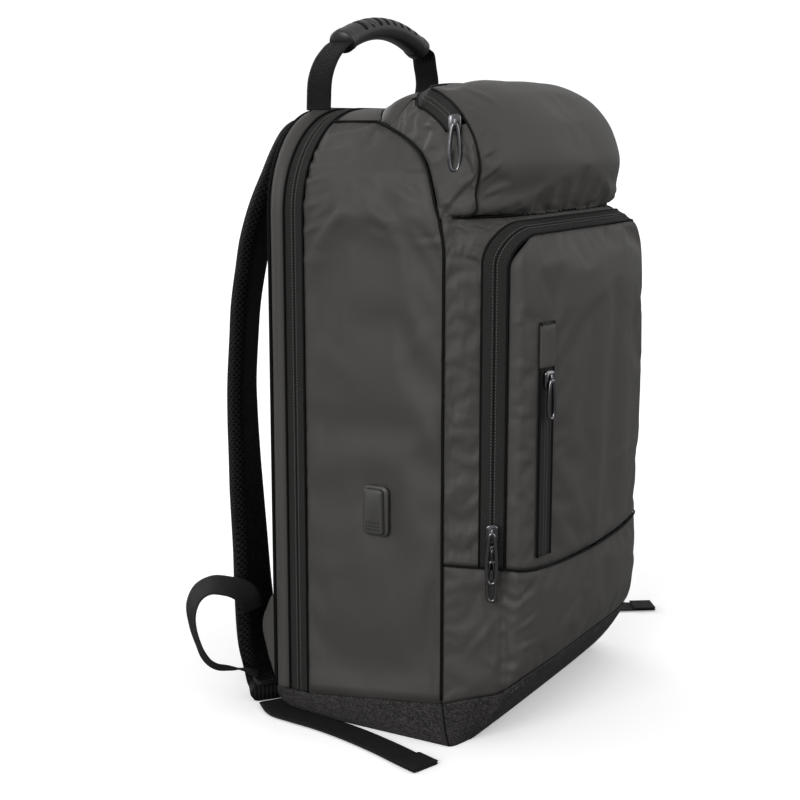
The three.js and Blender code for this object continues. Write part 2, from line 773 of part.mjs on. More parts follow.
// The gusset fills the front between the side seams, the top pocket and the zip
function pocketGusset() {
  const grid = rimStations.map(({ sign, rise }) => {
    const inner = pocketRim(sign, rise, 0);
    const cornerX = frontHalf * 0.985;
    const seamX = rise <= 1.5 ? cornerX : lerp(cornerX, 0.7 * frontHalf, clamp((rise - 1.5) * 2, 0, 1));
    const x = rise <= 2 ? seamX : lerp(0.7 * frontHalf, 0, rise - 2);
    const onTop = clamp((rise - 1) * 2, 0, 1);
    const z = rise <= 1 ? inner.z : lerp(inner.z, topSeamHeight - seamGap, onTop);
    const dip = (1 - Math.min(rise, 1)) * (lowSeamZ(sign * frontHalf) - lowSeamZ(inner.x));
    const side = vec(sign * frontHalf, frontSeamY - 1.5 * seamGap, inner.z + dip);
    const over = vec(sign * x, topSeamY(x), z);
    const outer = rise <= 1 ? side : side.clone().setZ(z).lerp(over, onTop);
    return [outer, outer.clone().lerp(inner, 0.5), inner];
  });
  return sheet(grid, clothThickness, vec(0, 0, cornerStart / 2));
}

add("front_pocket_gusset", pocketGusset(), cloth);

// The upper face inside the zip
function faceHalf(z) {
  const rim = pocketRim(1, 1, 1);
  const top = pocketRim(1, 3, 1).z;
  const radius = top - rim.z;
  const climb = clamp((z - rim.z) / radius, 0, 1);
  return rim.x - radius + radius * Math.sqrt(1 - climb * climb * 0.985);
}

function facePoint(across, z) {
  const rim = pocketRim(1, 1, 1);
  const top = pocketRim(1, 3, 1);
  const climb = clamp((z - rim.z) / (top.z - rim.z), 0, 1);
  const edgeY = lerp(rim.y, top.y, smoothstep(climb, 0, 1));
  const x = across * faceHalf(z);
  const edge = frontSection[2];
  const row = Math.abs(across) * edge.out;
  const deep = lookUp([...frontSection].reverse(), "out", row, "deep");
  const dome = (deep - edge.deep) / (1 - edge.deep);
  const full = lookUp(pocketFullness, "up", (z - baseRimFront) / (top.z - baseRimFront), "full");
  const swell = (full * pocketDepth + frontSeamY + edgeY + 0) * 0;
  const reach = Math.max(frontSeamY - full * pocketDepth - edgeY, -pocketDepth) + swell;
  return vec(x, edgeY + Math.min(reach, 0) * dome, z);
}

function upperFace() {
  const top = pocketRim(1, 3, 1).z - 3 * seamGap;
  const shares = [0, 0.3, 0.6, 0.82, 0.9, 0.95, 0.985, 1];
  const acrosses = frontSection.slice(2).map((row) => row.out / frontSection[2].out);
  const grid = shares.map((share) => {
    const left = acrosses.map((across) => ({ across: -across }));
    const right = acrosses.slice(0, -1).reverse().map((across) => ({ across }));
    return [...left, ...right].map(({ across }) => {
      const low = lowSeamZ(across * frontSection[2].out * frontHalf) + seamGap / 2;
      const point = facePoint(across, lerp(low, top, share));
      point.x -= 3 * seamGap * across;
      return point;
    });
  });
  return sheet(grid, clothThickness, frontMiddle);
}

add("front_pocket_upper", upperFace(), cloth);

// Slot zip on the upper face

function onFace(x, z, proud) {
  const point = facePoint(x / faceHalf(z), z);
  const beside = facePoint((x + 1) / faceHalf(z), z);
  const normal = vec(point.y - beside.y, -1, 0).multiply(vec(1, 1, 0)).normalize();
  return point.addScaledVector(vec(-normal.x, normal.y, 0), proud);
}

function faceStrip(width, low, high, proud, thickness, rows) {
  const grid = [];
  for (let r = 0; r <= rows; r++) {
    const z = lerp(low, high, r / rows);
    grid.push([-0.5, 0, 0.5].map((share) => onFace(slotCentreX + share * width, z, proud + thickness)));
  }
  return sheet(grid, thickness, frontMiddle);
}

const slotProud = 1;
const garageProud = slotProud + tapeThickness + restGap;
const slotTape = faceStrip(slotWidth, slotTop - slotLength, slotTop, slotProud, tapeThickness, 5);
const garageTop = slotTop - 4;
const garage = faceStrip(slotWidth, garageTop - garageLength, garageTop, garageProud, tapeThickness, 1);
add("slot_zip_tape", slotTape, zipTape);
add("slot_garage", garage, cloth);

// Top pocket

const rollDepth = seamTopY - rollFrontY;
const rollHeight = rollTop - topSeamHeight;

// Where a line of the top pocket starts on the side seam
function rollStart(sign, line) {
  const y = seamY(line.rise) - 2 * seamGap;
  return outline(sign, line.rise, y);
}

// A point of the roll on one line: across is -1 at its left end and 1 at its right end
function rollPoint(across, index) {
  const line = rollLines[index];
  const x = across * line.out * halfWidth;
  if (index === rollLines.length - 1) {
    return vec(x, topSeamY(x), topSeamHeight + seamGap / 2);
  }
  const middle = 1 - across ** 4;
  const back = lerp(line.endBack, line.back, middle);
  const up = lerp(line.endUp, line.up, middle);
  const crest = vec(x, rollFrontY + back * rollDepth, topSeamHeight + up * rollHeight);
  if (index === 0) {
    return crossSeam(across, -seamGap);
  }
  return crest;
}

const rearLine = 2;
const frontLine = 3;
const zipEndLine = 5;
const topZipShare = 0.4;
const rollInside = vec(0, (seamTopY + rollFrontY) / 2, topSeamHeight + rollHeight / 3);

// Cloth between the seam across the top and the rear edge of the zip
function topPocketRear() {
  const grid = [];
  for (let i = 0; i <= rearLine; i++) {
    const room = i === rearLine ? seamGap : 0;
    const row = topAcross.map((across) => rollPoint(across, i).add(vec(0, room, 0)));
    const starts = [-1, 1].map((sign) => rollStart(sign, rollLines[i]).add(vec(0, room, 0)));
    grid.push([starts[0], ...row, starts[1]]);
  }
  return sheet(grid, clothThickness, rollInside);
}

add("top_pocket_rear", topPocketRear(), cloth);

// The roll itself, from the front edge of the zip to the seam above the front pocket
function topPocketShell() {
  const grid = [];
  for (let i = frontLine; i < rollLines.length; i++) {
    grid.push(topAcross.map((across) => rollPoint(across * 0.99, i)));
  }
  return sheet(grid, clothThickness, rollInside);
}

add("top_pocket_shell", topPocketShell(), cloth);

// The zip runs along the roll and down both of its ends
const zipLower = (sign, i) => rollPoint(sign, i).lerp(rollStart(sign, rollLines[i]), topZipShare);

function topZipTape() {
  const end = (sign) => {
    const rows = [];
    for (let i = zipEndLine; i >= frontLine; i--) {
      const pair = [rollPoint(sign, i), zipLower(sign, i)];
      const room = (5 * seamGap) / pair[0].distanceTo(pair[1]);
      rows.push([pair[0].clone().lerp(pair[1], room), pair[1].clone().lerp(pair[0], room / 5)]);
    }
    return rows;
  };
  const over = topAcross.slice(1, -1).map((across) => {
    const pair = [rollPoint(across, frontLine), rollPoint(across, rearLine)];
    return [pair[0].clone().lerp(pair[1], 0.06), pair[1].clone().lerp(pair[0], 0.04)];
  });
  const grid = [...end(-1), ...over, ...end(1).reverse()];
  return sheet(grid, tapeThickness, rollInside);
}

add("top_pocket_zip_tape", topZipTape(), zipTape);

// Cloth at each end of the roll, between the side seam, the zip and the roll
function topPocketEnd(sign) {
  const grid = [];
  for (let i = rearLine; i < rollLines.length; i++) {
    const start = rollStart(sign, rollLines[i]);
    const roll = rollPoint(sign, i);
    const room = vec(0, i === rearLine ? -2 * seamGap : 0, 0);
    const beside = i <= zipEndLine ? zipLower(sign, i) : roll;
    const edge = start.clone().lerp(beside, 0.97);
    if (i === rearLine) {
      edge.copy(start).lerp(roll, 0.9);
    }
    grid.push([start, start.clone().lerp(edge, 0.5), edge].map((point) => point.add(room)));
    if (i === zipEndLine) {
      const below = start.clone().lerp(rollStart(sign, rollLines[i + 1]), 0.15);
      const tip = roll.clone().lerp(rollPoint(sign, i + 1), 0.12).lerp(below, 0.03);
      grid.push([below, below.clone().lerp(tip, 0.5), tip]);
    }
  }
  return sheet(grid, clothThickness, rollInside);
}

for (const { word, sign } of sides) {
  add(`top_pocket_end_${word}`, topPocketEnd(sign), cloth);
}

// Base tray of ballistic cloth: its rim follows the bag and its foot is flat

function baseTray() {
  const ring = [];
  const sideSteps = 5;
  const backSteps = 6;
  const front = mirrored(frontSection).map(({ row, sign }) => {
    const point = frontPoint(row, sign, row.hem * baseRimFront, 0);
    const footY = lerp(footCornerY, footFrontY, row.deep ** 0.5);
    const foot = vec(point.x * (footHalfWidth / frontHalf), footY, 0);
    return { rim: point, foot, round: 0.25 };
  });
  const sidePoint = (sign, share) => {
    const y = lerp(frontSeamY + seamGap, backY, share);
    const rim = vec(sign * halfWidthAt(y), y, rimHeight(y));
    const foot = vec(sign * footHalfWidth, lerp(footCornerY, footBackY, share), 0);
    return { rim, foot, round: 1 };
  };
  ring.push(...front);
  for (let i = 0; i <= sideSteps; i++) ring.push(sidePoint(1, i / sideSteps));
  for (let i = 1; i < backSteps; i++) {
    const x = lerp(halfWidth, -halfWidth, i / backSteps);
    const foot = vec(x * (footHalfWidth / halfWidth), footBackY, 0);
    ring.push({ rim: vec(x, backY, baseRimSide), foot, round: 1 });
  }
  for (let i = sideSteps; i >= 0; i--) ring.push(sidePoint(-1, i / sideSteps));
  const levels = [0, 30, 60, 90];
  const rings = (inset) =>
    levels.map((level) =>
      ring.map(({ rim, foot, round }) => {
        const angle = degToRad(level);
        const away = lerp(level / 90, 1 - Math.cos(angle), round);
        const drop = lerp(level / 90, Math.sin(angle), round);
        const point = vec(lerp(rim.x, foot.x, away), lerp(rim.y, foot.y, away), rim.z * (1 - drop));
        const inward = vec(-point.x / halfWidth, -(point.y - 8) / 90, 0).clampLength(0, 1);
        point.addScaledVector(inward, inset);
        point.z = lerp(rim.z, inset, drop);
        return point;
      }),
    );
  return tray(rings(0), rings(baseThickness));
}

add("base_panel", baseTray(), ballistic);

// Corner tabs: padded triangles of cloth behind the rear gusset that hold the webbing

function cornerTab() {
  const low = baseRimSide + 2;
  const shape = new THREE.Shape();
  shape.moveTo(backPanelY + restGap, low);
  shape.lineTo(backPanelY + restGap, low + tabHeight);
  shape.lineTo(backPanelY + tabReach * 0.75, low + tabHeight * 0.84);
  shape.lineTo(backPanelY + tabReach, low + tabHeight * 0.64);
  shape.lineTo(backPanelY + tabReach * 0.7, low + tabHeight * 0.4);
  shape.closePath();
  const geometry = new THREE.ExtrudeGeometry(shape, { depth: tabThickness, bevelEnabled: false });
  geometry.rotateX(Math.PI / 2);
  geometry.rotateZ(Math.PI / 2);
  return geometry;
}

for (const { word, sign } of sides) {
  const mesh = add(`corner_tab_${word}`, cornerTab(), cloth);
  mesh.position.x = sign > 0 ? halfWidth - tabThickness - 1 : -halfWidth + 1;
}

// Shoulder straps

function strapStations(sign) {
  const points = strapLine.map((row) =>
    vec(sign * row.out * halfWidth, backY + row.back * strapReach, row.up * bagHeight),
  );
  return strapLine.map((row, i) => {
    const turn = degToRad(row.turn);
    return {
      middle: points[i],
      across: vec(-sign * Math.cos(turn), Math.sin(turn), 0),
      width: strapWidth * row.wide,
    };
  });
}

for (const { word, sign } of sides) {
  add(`shoulder_strap_${word}`, strip(strapStations(sign), strapThickness, strapThickness * 0.4), airMesh);
}

// Webbing loops between the corner tabs and the ladder locks

function loopStations(sign) {
  const points = loopLine.map((row) =>
    vec(sign * row.out * halfWidth, backY + row.back * loopReach, row.up * loopTop),
  );
  return points.map((middle, i) => {
    const before = points[Math.max(i - 1, 0)];
    const after = points[Math.min(i + 1, points.length - 1)];
    const along = after.clone().sub(before).normalize();
    const sideways = vec(-sign * Math.cos(degToRad(loopTurn)), Math.sin(degToRad(loopTurn)), 0);
    const inPlane = along.clone().cross(sideways).normalize();
    const { show } = loopLine[i];
    const rest = -Math.sqrt(1 - show * show);
    const across = inPlane.multiplyScalar(-sign * show).addScaledVector(sideways, rest);
    return { middle, across, width: webbingWidth };
  });
}

for (const { word, sign } of sides) {
  add(`webbing_loop_${word}`, strip(loopStations(sign), webbingThickness), webbing);
}

// Free tails, each ending in a sewn fold

const tailPoint = (row) => vec(row.out * halfWidth, row.back * backY, row.lift * webbingThickness);

function tailStations(points) {
  return points.map((point, i) => {
    const before = points[Math.max(i - 1, 0)];
    const after = points[Math.min(i + 1, points.length - 1)];
    const across = vec(after.y - before.y, before.x - after.x, 0).normalize();
    return { middle: point, across, width: webbingWidth };
  });
}

function tailTip(points) {
  const tip = points.at(-1);
  const before = points.at(-2);
  const back = vec(before.x - tip.x, before.y - tip.y, 0).normalize();
  const z = tip.z + webbingThickness + restGap;
  const ends = [0, 1].map((share) => vec(tip.x, tip.y, z).addScaledVector(back, share * tailFold));
  const across = vec(-back.y, back.x, 0);
  return strip(ends.map((middle) => ({ middle, across, width: webbingWidth })), webbingThickness);
}

[leftTail, rightTail].forEach((rows, i) => {
  const { word } = sides[i];
  const points = rows.map(tailPoint);
  add(`webbing_tail_${word}`, strip(tailStations(points), webbingThickness), webbing);
  add(`tail_fold_${word}`, tailTip(points), webbing);
});

// Ladder locks on the strap ends

for (const { word, sign } of sides) {
  const frame = roundedRectangle(lockWidth, lockLength, 3);
  const slotHalf = (lockLength - 4 * lockBar) / 6;
  for (const row of [-1, 0, 1]) {
    const shift = row * (2 * slotHalf + lockBar);
    const half = webbingWidth / 2 + seamGap;
    const slot = new THREE.Path();
    slot.moveTo(-half, shift - slotHalf);
    slot.lineTo(-half, shift + slotHalf);
    slot.lineTo(half, shift + slotHalf);
    slot.lineTo(half, shift - slotHalf);
    slot.closePath();
    frame.holes.push(slot);
  }
  const cut = { depth: lockThickness, bevelEnabled: false, curveSegments: 3 };
  const mesh = add(`ladder_lock_${word}`, new THREE.ExtrudeGeometry(frame, cut), plastic);
  const [before, end] = strapLine.slice(-2);
  const out = lerp(before.out, end.out, 0.15);
  const back = lerp(before.back, end.back, 0.15);
  const top = end.up * bagHeight + strapThickness / 2 + 3 * restGap;
  mesh.rotation.z = -sign * degToRad(end.turn);
  mesh.position.set(sign * out * halfWidth, backY + back * strapReach, top);
}

// Carry handle

function gripPath(share) {
  const lift = 1 - share * share;
  return vec(handleShift + share * gripHalfLength, handleY, bagHeight + handleRise - gripDrop + gripDrop * lift);
}

function handleGrip() {
  const steps = 14;
  const sideCount = 12;
  const rings = [];
  for (let i = 0; i <= steps; i++) {
    const share = lerp(-1, 1, i / steps);
    const middle = gripPath(share);
    const along = gripPath(share + 0.01).sub(gripPath(share - 0.01)).normalize();
    const up = vec(-along.z, 0, along.x);
    const ring = [];
    for (let j = 0; j < sideCount; j++) {
      const angle = (j / sideCount) * 2 * Math.PI;
      const y = (gripWidth / 2) * Math.cos(angle);
      const z = (gripDepth / 2) * Math.sin(angle);
      ring.push(middle.clone().add(vec(0, y, 0)).addScaledVector(up, z));
    }
    rings.push(ring);
  }
  let solid = toManifold(solidThrough(rings));
  for (let i = 0; i < slotCount; i++) {
    const share = ((i - (slotCount - 1) / 2) * slotPitch) / gripHalfLength;
    const at = gripPath(share);
    const along = gripPath(share + 0.01).sub(gripPath(share - 0.01));
    const box = new THREE.BoxGeometry(slotOpening, gripWidth * 0.62, 2 * slotDepth);
    box.translate(0, 0, gripDepth / 2);
    box.rotateY(-Math.atan2(along.z, along.x));
    box.translate(at.x, at.y, at.z);
    solid = solid.subtract(toManifold(box));
  }
  return toGeometry(solid);
}

add("handle_grip", handleGrip(), rubber);

function handleWebbing(sign) {
  const end = gripPath(sign);
  const along = end.clone().sub(gripPath(sign * 0.98)).normalize();
  const footX = (sign * handleFootSpan) / 2;
  const footZ = archHeight(Math.abs(footX) - webbingThickness, backY) + restGap;
  const foot = vec(footX, handleFootY, footZ);
  const points = [
    end.clone().addScaledVector(along, restGap),
    end.clone().addScaledVector(along, gripDepth * 0.3),
    end.clone().addScaledVector(along, gripDepth * 0.5).add(vec(0, 0, -gripDepth * 0.3)),
    foot.clone().lerp(end, 0.2).setX(foot.x - sign * webbingThickness),
    foot.clone().add(vec(0, 0, handleRise * 0.08)),
    foot,
  ];
  return points.map((middle) => ({ middle, across: vec(0, 1, 0), width: webbingWidth * 0.9 }));
}

for (const { word, sign } of sides) {
  add(`handle_webbing_${word}`, strip(handleWebbing(sign), webbingThickness * 2), webbing);
}

// Port cover on the left side

function portCover() {
  const shape = roundedRectangle(portWidth - 2 * portBevel, portHeight - 2 * portBevel, 4);
  return new THREE.ExtrudeGeometry(shape, {
    depth: portDepth - portBevel,
    bevelEnabled: true,
    bevelThickness: portBevel,
    bevelSize: portBevel,
    bevelSegments: 2,
    curveSegments: 4,
  });
}

const portMesh = add("usb_port_cover", portCover(), plastic);
portMesh.rotation.order = "ZXY";
portMesh.rotation.set(Math.PI / 2, 0, -Math.PI / 2);
portMesh.position.set(-halfWidth - portSeat - portBevel, portY, portZ);

// Zip sliders and pulls

function sliderBody() {
  const bevel = 1;
  const shape = roundedRectangle(sliderWidth - 2 * bevel, sliderLength - 2 * bevel, 2);
  return new THREE.ExtrudeGeometry(shape, {
    depth: sliderThickness - 2 * bevel,
    bevelEnabled: true,
    bevelThickness: bevel,
    bevelSize: bevel,
    bevelSegments: 1,
    curveSegments: 3,
  });
}

function pullLoop(length) {
  const shape = roundedRectangle(pullWidth, length, pullWidth / 2 - 0.4);
  const holeWidth = pullWidth - 2 * pullBar;
  const hole = roundedRectangle(holeWidth, length - 2 * pullBar, holeWidth / 2 - 0.3);
  shape.holes.push(new THREE.Path(hole.getPoints(4)));
  return new THREE.ExtrudeGeometry(shape, { depth: pullThickness, bevelEnabled: false, curveSegments: 4 });
}

const facingWay = (facing) => vec(-Math.sin(degToRad(facing)), -Math.cos(degToRad(facing)), 0);

// A slider with its pull hanging in front of it: facing is the direction it faces, in degrees from -Y
// towards -X, and hang is how far below the slider the pull's middle lies
function zipPull(name, at, facing, length, hang, proud) {
  const turn = -degToRad(facing);
  const outward = facingWay(facing);
  const slider = add(`${name}_slider`, sliderBody(), gunmetal);
  slider.rotation.order = "ZXY";
  slider.rotation.set(Math.PI / 2, 0, turn);
  slider.position.copy(at).addScaledVector(outward, 1 + proud);
  const pull = add(`${name}_pull`, pullLoop(length), gunmetal);
  pull.rotation.order = "ZXY";
  pull.rotation.set(Math.PI / 2, 0, turn);
  pull.position.copy(at).addScaledVector(outward, sliderThickness + restGap + proud + 0.3);
  pull.position.z -= hang;
}

const slotSlider = onFace(slotCentreX - 1, slotTop - garageLength - 14, garageProud + 1);
zipPull("slot_zip", slotSlider, slotPullTurn, 30, pullHang - 2, 0);
const frontZip = pocketRim(-1, 0.125, 0.5);
zipPull("front_zip_upper", frontZip, frontPullTurn, pullLength, pullHang, frontPullProud);
const frontZipLow = frontZip.clone().setZ(frontZip.z - sliderLength - 2);
zipPull("front_zip_lower", frontZipLow, frontPullTurn, pullLength, lowPullHang, lowPullProud);

// The top pocket's pull stands out further, for the end panel leans out below it
const topZip = rollPoint(-1, zipEndLine).lerp(zipLower(-1, zipEndLine), 0.5);
zipPull("top_zip", topZip, topPullTurn, pullLength, pullHang, topPullProud);
const mainZip = outline(1, 0.2, (zipFrontY + zipRearY) / 2);
zipPull("main_zip", mainZip, -90, pullLength, pullHang, -0.5);

export default backpack;
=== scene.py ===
"""A laptop backpack on a white floor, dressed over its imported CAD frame. Sizes are in millimetres."""

import math

import bpy
import numpy as np
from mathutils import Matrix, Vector


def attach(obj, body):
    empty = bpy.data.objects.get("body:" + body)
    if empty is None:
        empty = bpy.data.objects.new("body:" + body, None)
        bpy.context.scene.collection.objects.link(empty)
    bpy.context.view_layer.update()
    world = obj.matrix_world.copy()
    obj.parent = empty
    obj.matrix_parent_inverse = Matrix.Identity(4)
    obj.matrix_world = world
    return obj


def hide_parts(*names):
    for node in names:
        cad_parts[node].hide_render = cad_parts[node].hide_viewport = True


MM = 0.001

# Cloth, seams and zips
CLOTH = 1.4
TAPE = 1.2
WEBBING = 1.5
WEBBING_WIDTH = 25
SEAM_GAP = 0.4
PIECE_GAP = 0.3
ZIP_WIDTH = 17
ZIP_SINK = 0.8
PIPING = 1.0
STITCH_PITCH = 2.3

# Main bag
BAG_WIDTH = 275
BAG_HEIGHT = 474
BACK_Y = 94
FRONT_SEAM_Y = -55
SEAM_TOP_Y = 22
FRONT_TAPER = 2.5
SIDE_BULGE = 3
CORNER_RADIUS = 78
ZIP_CORNER_RADIUS = 84
BACK_CORNER_RADIUS = 70
REAR_GUSSET = 12.5
BACK_PANEL = 2.6
SEAM_TURN = 60

# Base tray
RIM_SIDE = 18
RIM_CORNER = 32
RIM_FRONT = 57
FOOT_INSET = 6.5
BASE_TUCK = 1.5
BASE_SWELL = 2
FOOT_FRONT_Y = -71
FOOT_CORNER_Y = -62
FOOT_BACK_Y = 67

# Front pocket
POCKET_FRONT_Y = -121
POCKET_DROP = 4
POCKET_RADIUS = 29
POCKET_TOP_Y = -92
ZIP_SLOPE = 8
ZIP_RISE = 8
LOW_SEAM = 141
LOW_SEAM_DIP = 9
LOW_SEAM_X = 30
CORNER_PULL = 1.5
CORNER_PUCKER = 0.35
SLOT_INSET = 45.5
SLOT_WIDTH = 16
SLOT_DROP = 71
SLOT_LENGTH = 175
GARAGE_LENGTH = 28

# Top pocket
TOP_SEAM_RISE = 1
TOP_SEAM_BOW = 35
CROSS_SEAM_BOW = 17
ROLL_RISE = 21
ROLL_FRONT_Y = -102
TOP_ZIP_SHARE = 0.4
REAR_SWELL = 6

# Back pads, straps and webbing
PAD_HALF_WIDTH = 118
PAD_THICKNESS = 14
STRAP_WIDTH = 60
STRAP_THICKNESS = 13
STRAP_REACH = 66
LOOP_REACH = 68
LOOP_TOP = 104
LOOP_TURN = 30
TAIL_FOLD = 20
TAB_REACH = 12
TAB_HEIGHT = 70
TAB_THICKNESS = 5

# Carry handle
HANDLE_RISE = 62
HANDLE_LIFT = 3
HANDLE_Y = 80
HANDLE_FOOT_Y = 84
HANDLE_SHIFT = 5
GRIP_HALF_LENGTH = 62
GRIP_DROP = 14
GRIP_WIDTH = 23
GRIP_DEPTH = 19
SLOT_COUNT = 8
SLOT_PITCH = 11
GROOVE_DEPTH = 4.6
COLLAR_LENGTH = 8
COLLAR_RISE = 0.7
HANDLE_FOOT_SPAN = 167

# Port cover on the left side
PORT_WIDTH = 22
PORT_HEIGHT = 39
PORT_DEPTH = 5
PORT_Y = 0
PORT_Z = 176.5
DIMPLE = 1.2
DIMPLE_PITCH = 2.6
DIMPLE_ROWS = 3
DIMPLE_COLUMNS = 5
PORT_DENT = 2.6
DENT_REACH = 0.72

# Zip pulls
SLIDER_WIDTH = 9
SLIDER_LENGTH = 14
PULL_LENGTH = 32
PULL_WIDTH = 10
SLOT_FACING = 28
FRONT_FACING = 64
TOP_FACING = 62
SIDE_FACING = -90
FRONT_PROUD = 3.2
LOW_PROUD = 0.6
TOP_PROUD = 4

# Worked out from the sizes above
HALF = BAG_WIDTH / 2
ZIP_REAR_Y = BACK_Y - REAR_GUSSET
ZIP_FRONT_Y = ZIP_REAR_Y - ZIP_WIDTH
CORNER_START = BAG_HEIGHT - CORNER_RADIUS
FOOT_HALF = HALF - FOOT_INSET
ROLL_TOP = BAG_HEIGHT + ROLL_RISE
TOP_SEAM = CORNER_START + TOP_SEAM_RISE
POCKET_TOP = TOP_SEAM - POCKET_DROP
SLOT_TOP = POCKET_TOP - SLOT_DROP
SLOT_X = SLOT_INSET - HALF
POCKET_DEPTH = FRONT_SEAM_Y - POCKET_FRONT_Y
SEAM_SPAN = SEAM_TOP_Y - FRONT_SEAM_Y
SEAM_END = 1 + SEAM_TURN / 90
FRONT_HALF = HALF - FRONT_TAPER
BACK_PANEL_Y = BACK_Y + PIECE_GAP + BACK_PANEL
ROLL_DEPTH = SEAM_TOP_Y - ROLL_FRONT_Y
ROLL_HEIGHT = ROLL_TOP - TOP_SEAM

# Camera, fitted to the photo
CAMERA_AT = (-1044.46, -545.09, 459.20)
CAMERA_TURN = 30.07
CAMERA_PITCH = 10.62
LENS = 65.25


def table(columns, rows):
    """Rows of numbers under named columns."""
    return [dict(zip(columns.split(), row)) for row in rows]


# Floor and sky, as the camera sees them and as they light the bag
FLOOR_HALF = 40
FLOOR_DROP = 0.0002
FLOOR_SEEN = 0.98
FLOOR_BOUNCED = 0.2
FLOOR_GLOW = 0.27
SKY_SEEN = 1.0
SKY_BOUNCED = 0.58
SKY_STRENGTH = 1.05
SUNS = table("name x y z strength softness", [
    ("key", -1.0, 0.05, 0.35, 1.75, 35),
    ("fill", 0.25, -1.0, 0.4, 0.85, 50),
    ("rear", 0.25, 1.0, 0.18, 1.5, 50),
])

# The seam between side and front: how high it is and how far back it has run
SEAM_SWEEP = table("rise back", [
    (0, 0),
    (0.94, 0),
    (1, 0.05),
    (1.17, 0.145),
    (1.28, 0.22),
    (1.4, 0.36),
    (1.52, 0.6),
    (1.61, 0.84),
    (SEAM_END, 1),
])

# Half of the front seen from above, from the side seam to the middle
FRONT_SECTION = table("out deep hem", [
    (1, 0, 0.56),
    (0.918, 0.364, 0.65),
    (0.86, 0.62, 0.71),
    (0.848, 0.76, 0.81),
    (0.79, 0.865, 0.9),
    (0.66, 0.925, 0.95),
    (0.38, 0.98, 0.98),
    (0, 1, 1),
])

# How full the front pocket is at a share of its height
POCKET_FULLNESS = table("up full", [
    (0, 0.9),
    (0.05, 0.97),
    (0.15, 1),
    (0.82, 1),
    (0.93, 0.96),
    (1, 0.79),
])

# The top pocket's lines from the seam across the top, over the roll, to the seam above the front
ROLL_LINES = table("rise out end_back end_up back up", [
    (SEAM_END, 0.67, 1, 0.715, 1, 0.785),
    (1.64, 0.7, 0.87, 0.8, 0.87, 0.86),
    (1.61, 0.73, 0.745, 0.865, 0.775, 0.92),
    (1.57, 0.757, 0.63, 0.93, 0.645, 0.97),
    (1.52, 0.815, 0.468, 0.85, 0.46, 1),
    (1.4, 0.88, 0.323, 0.714, 0.242, 0.908),
    (1.27, 0.91, 0.226, 0.53, 0.073, 0.663),
    (1.16, 0.917, 0.194, 0.357, 0, 0.367),
    (1.06, 0.917, 0.218, 0.163, 0.032, 0.143),
    (1, 0.92, 0, 0, 0, 0),
])

# A shoulder strap's middle line, from the top of the bag to the ladder lock
STRAP_LINE = table("up out back turn wide", [
    (0.974, 0.364, 0.2, 0, 0.9),
    (0.966, 0.407, 0.285, 2, 0.95),
    (0.952, 0.436, 0.355, 4, 1),
    (0.928, 0.48, 0.425, 7, 1),
    (0.894, 0.524, 0.515, 11, 1),
    (0.844, 0.582, 0.635, 14, 1),
    (0.789, 0.625, 0.745, 18, 1),
    (0.734, 0.64, 0.82, 20, 1),
    (0.675, 0.655, 0.88, 21, 1),
    (0.618, 0.662, 0.91, 22, 1),
    (0.538, 0.669, 0.945, 22, 1),
    (0.475, 0.676, 0.935, 21, 1),
    (0.422, 0.684, 0.91, 20, 1),
    (0.359, 0.698, 0.87, 18, 1),
    (0.255, 0.713, 0.8, 15, 0.97),
    (0.175, 0.727, 0.75, 10, 0.92),
    (0.095, 0.745, 0.67, 2, 0.84),
    (0.05, 0.75, 0.58, -8, 0.76),
    (0.022, 0.765, 0.49, -20, 0.7),
    (0.0145, 0.8, 0.38, -32, 0.68),
    (0.0142, 0.865, 0.26, -36, 0.68),
    (0.0142, 0.91, 0.175, -38, 0.68),
])

# The adjusting loop of webbing, from the corner tab round to the ladder lock
LOOP_LINE = table("out back up show", [
    (1.03, 0.31, 0.76, 0.6),
    (1.04, 0.32, 0.855, 0.58),
    (1.06, 0.41, 0.92, 0.46),
    (1.09, 0.57, 0.95, 0.36),
    (1.115, 0.77, 0.945, 0.36),
    (1.135, 0.94, 0.87, 0.42),
    (1.15, 1.02, 0.74, 0.45),
    (1.145, 1.01, 0.59, 0.4),
    (1.125, 0.96, 0.44, 0.4),
    (1.1, 0.89, 0.32, 0.5),
    (1.07, 0.79, 0.26, 0.55),
    (1.035, 0.66, 0.25, 0.5),
    (1, 0.49, 0.245, 0.3),
    (0.955, 0.34, 0.212, 0.12),
])

# The free tails of webbing on the floor, from the ladder lock to the tip
LEFT_TAIL = table("out back lift", [
    (-0.989, 1.053, 2.8),
    (-1.055, 0.904, 0.8),
    (-1.073, 0.723, 0.73),
    (-1.091, 0.426, 0.73),
    (-1.135, 0.085, 0.73),
    (-1.2, -0.255, 0.73),
    (-1.255, -0.489, 0.73),
    (-1.302, -0.702, 0.73),
])
RIGHT_TAIL = table("out back lift", [
    (1.004, 1.053, 2.8),
    (1.087, 0.904, 0.8),
    (1.149, 0.723, 0.73),
    (1.251, 0.426, 0.73),
    (1.404, 0.064, 0.73),
    (1.549, -0.277, 0.73),
    (1.687, -0.574, 0.73),
    (1.818, -0.851, 0.73),
])

# The four back pads, between two shares of the bag's height
PAD_ROWS = table("low high narrow", [
    (0.764, 0.935, 0),
    (0.575, 0.75, 0),
    (0.396, 0.553, 2),
    (0.163, 0.322, 6),
])

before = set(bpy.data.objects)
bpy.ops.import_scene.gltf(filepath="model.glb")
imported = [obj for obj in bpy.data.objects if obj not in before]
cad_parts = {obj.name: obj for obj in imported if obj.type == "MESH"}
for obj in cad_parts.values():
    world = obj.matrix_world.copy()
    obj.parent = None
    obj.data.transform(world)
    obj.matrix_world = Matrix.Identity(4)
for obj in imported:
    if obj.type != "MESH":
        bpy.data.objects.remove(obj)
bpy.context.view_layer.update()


# Curves through tables and points

def mix(a, b, share):
    return a + (b - a) * share


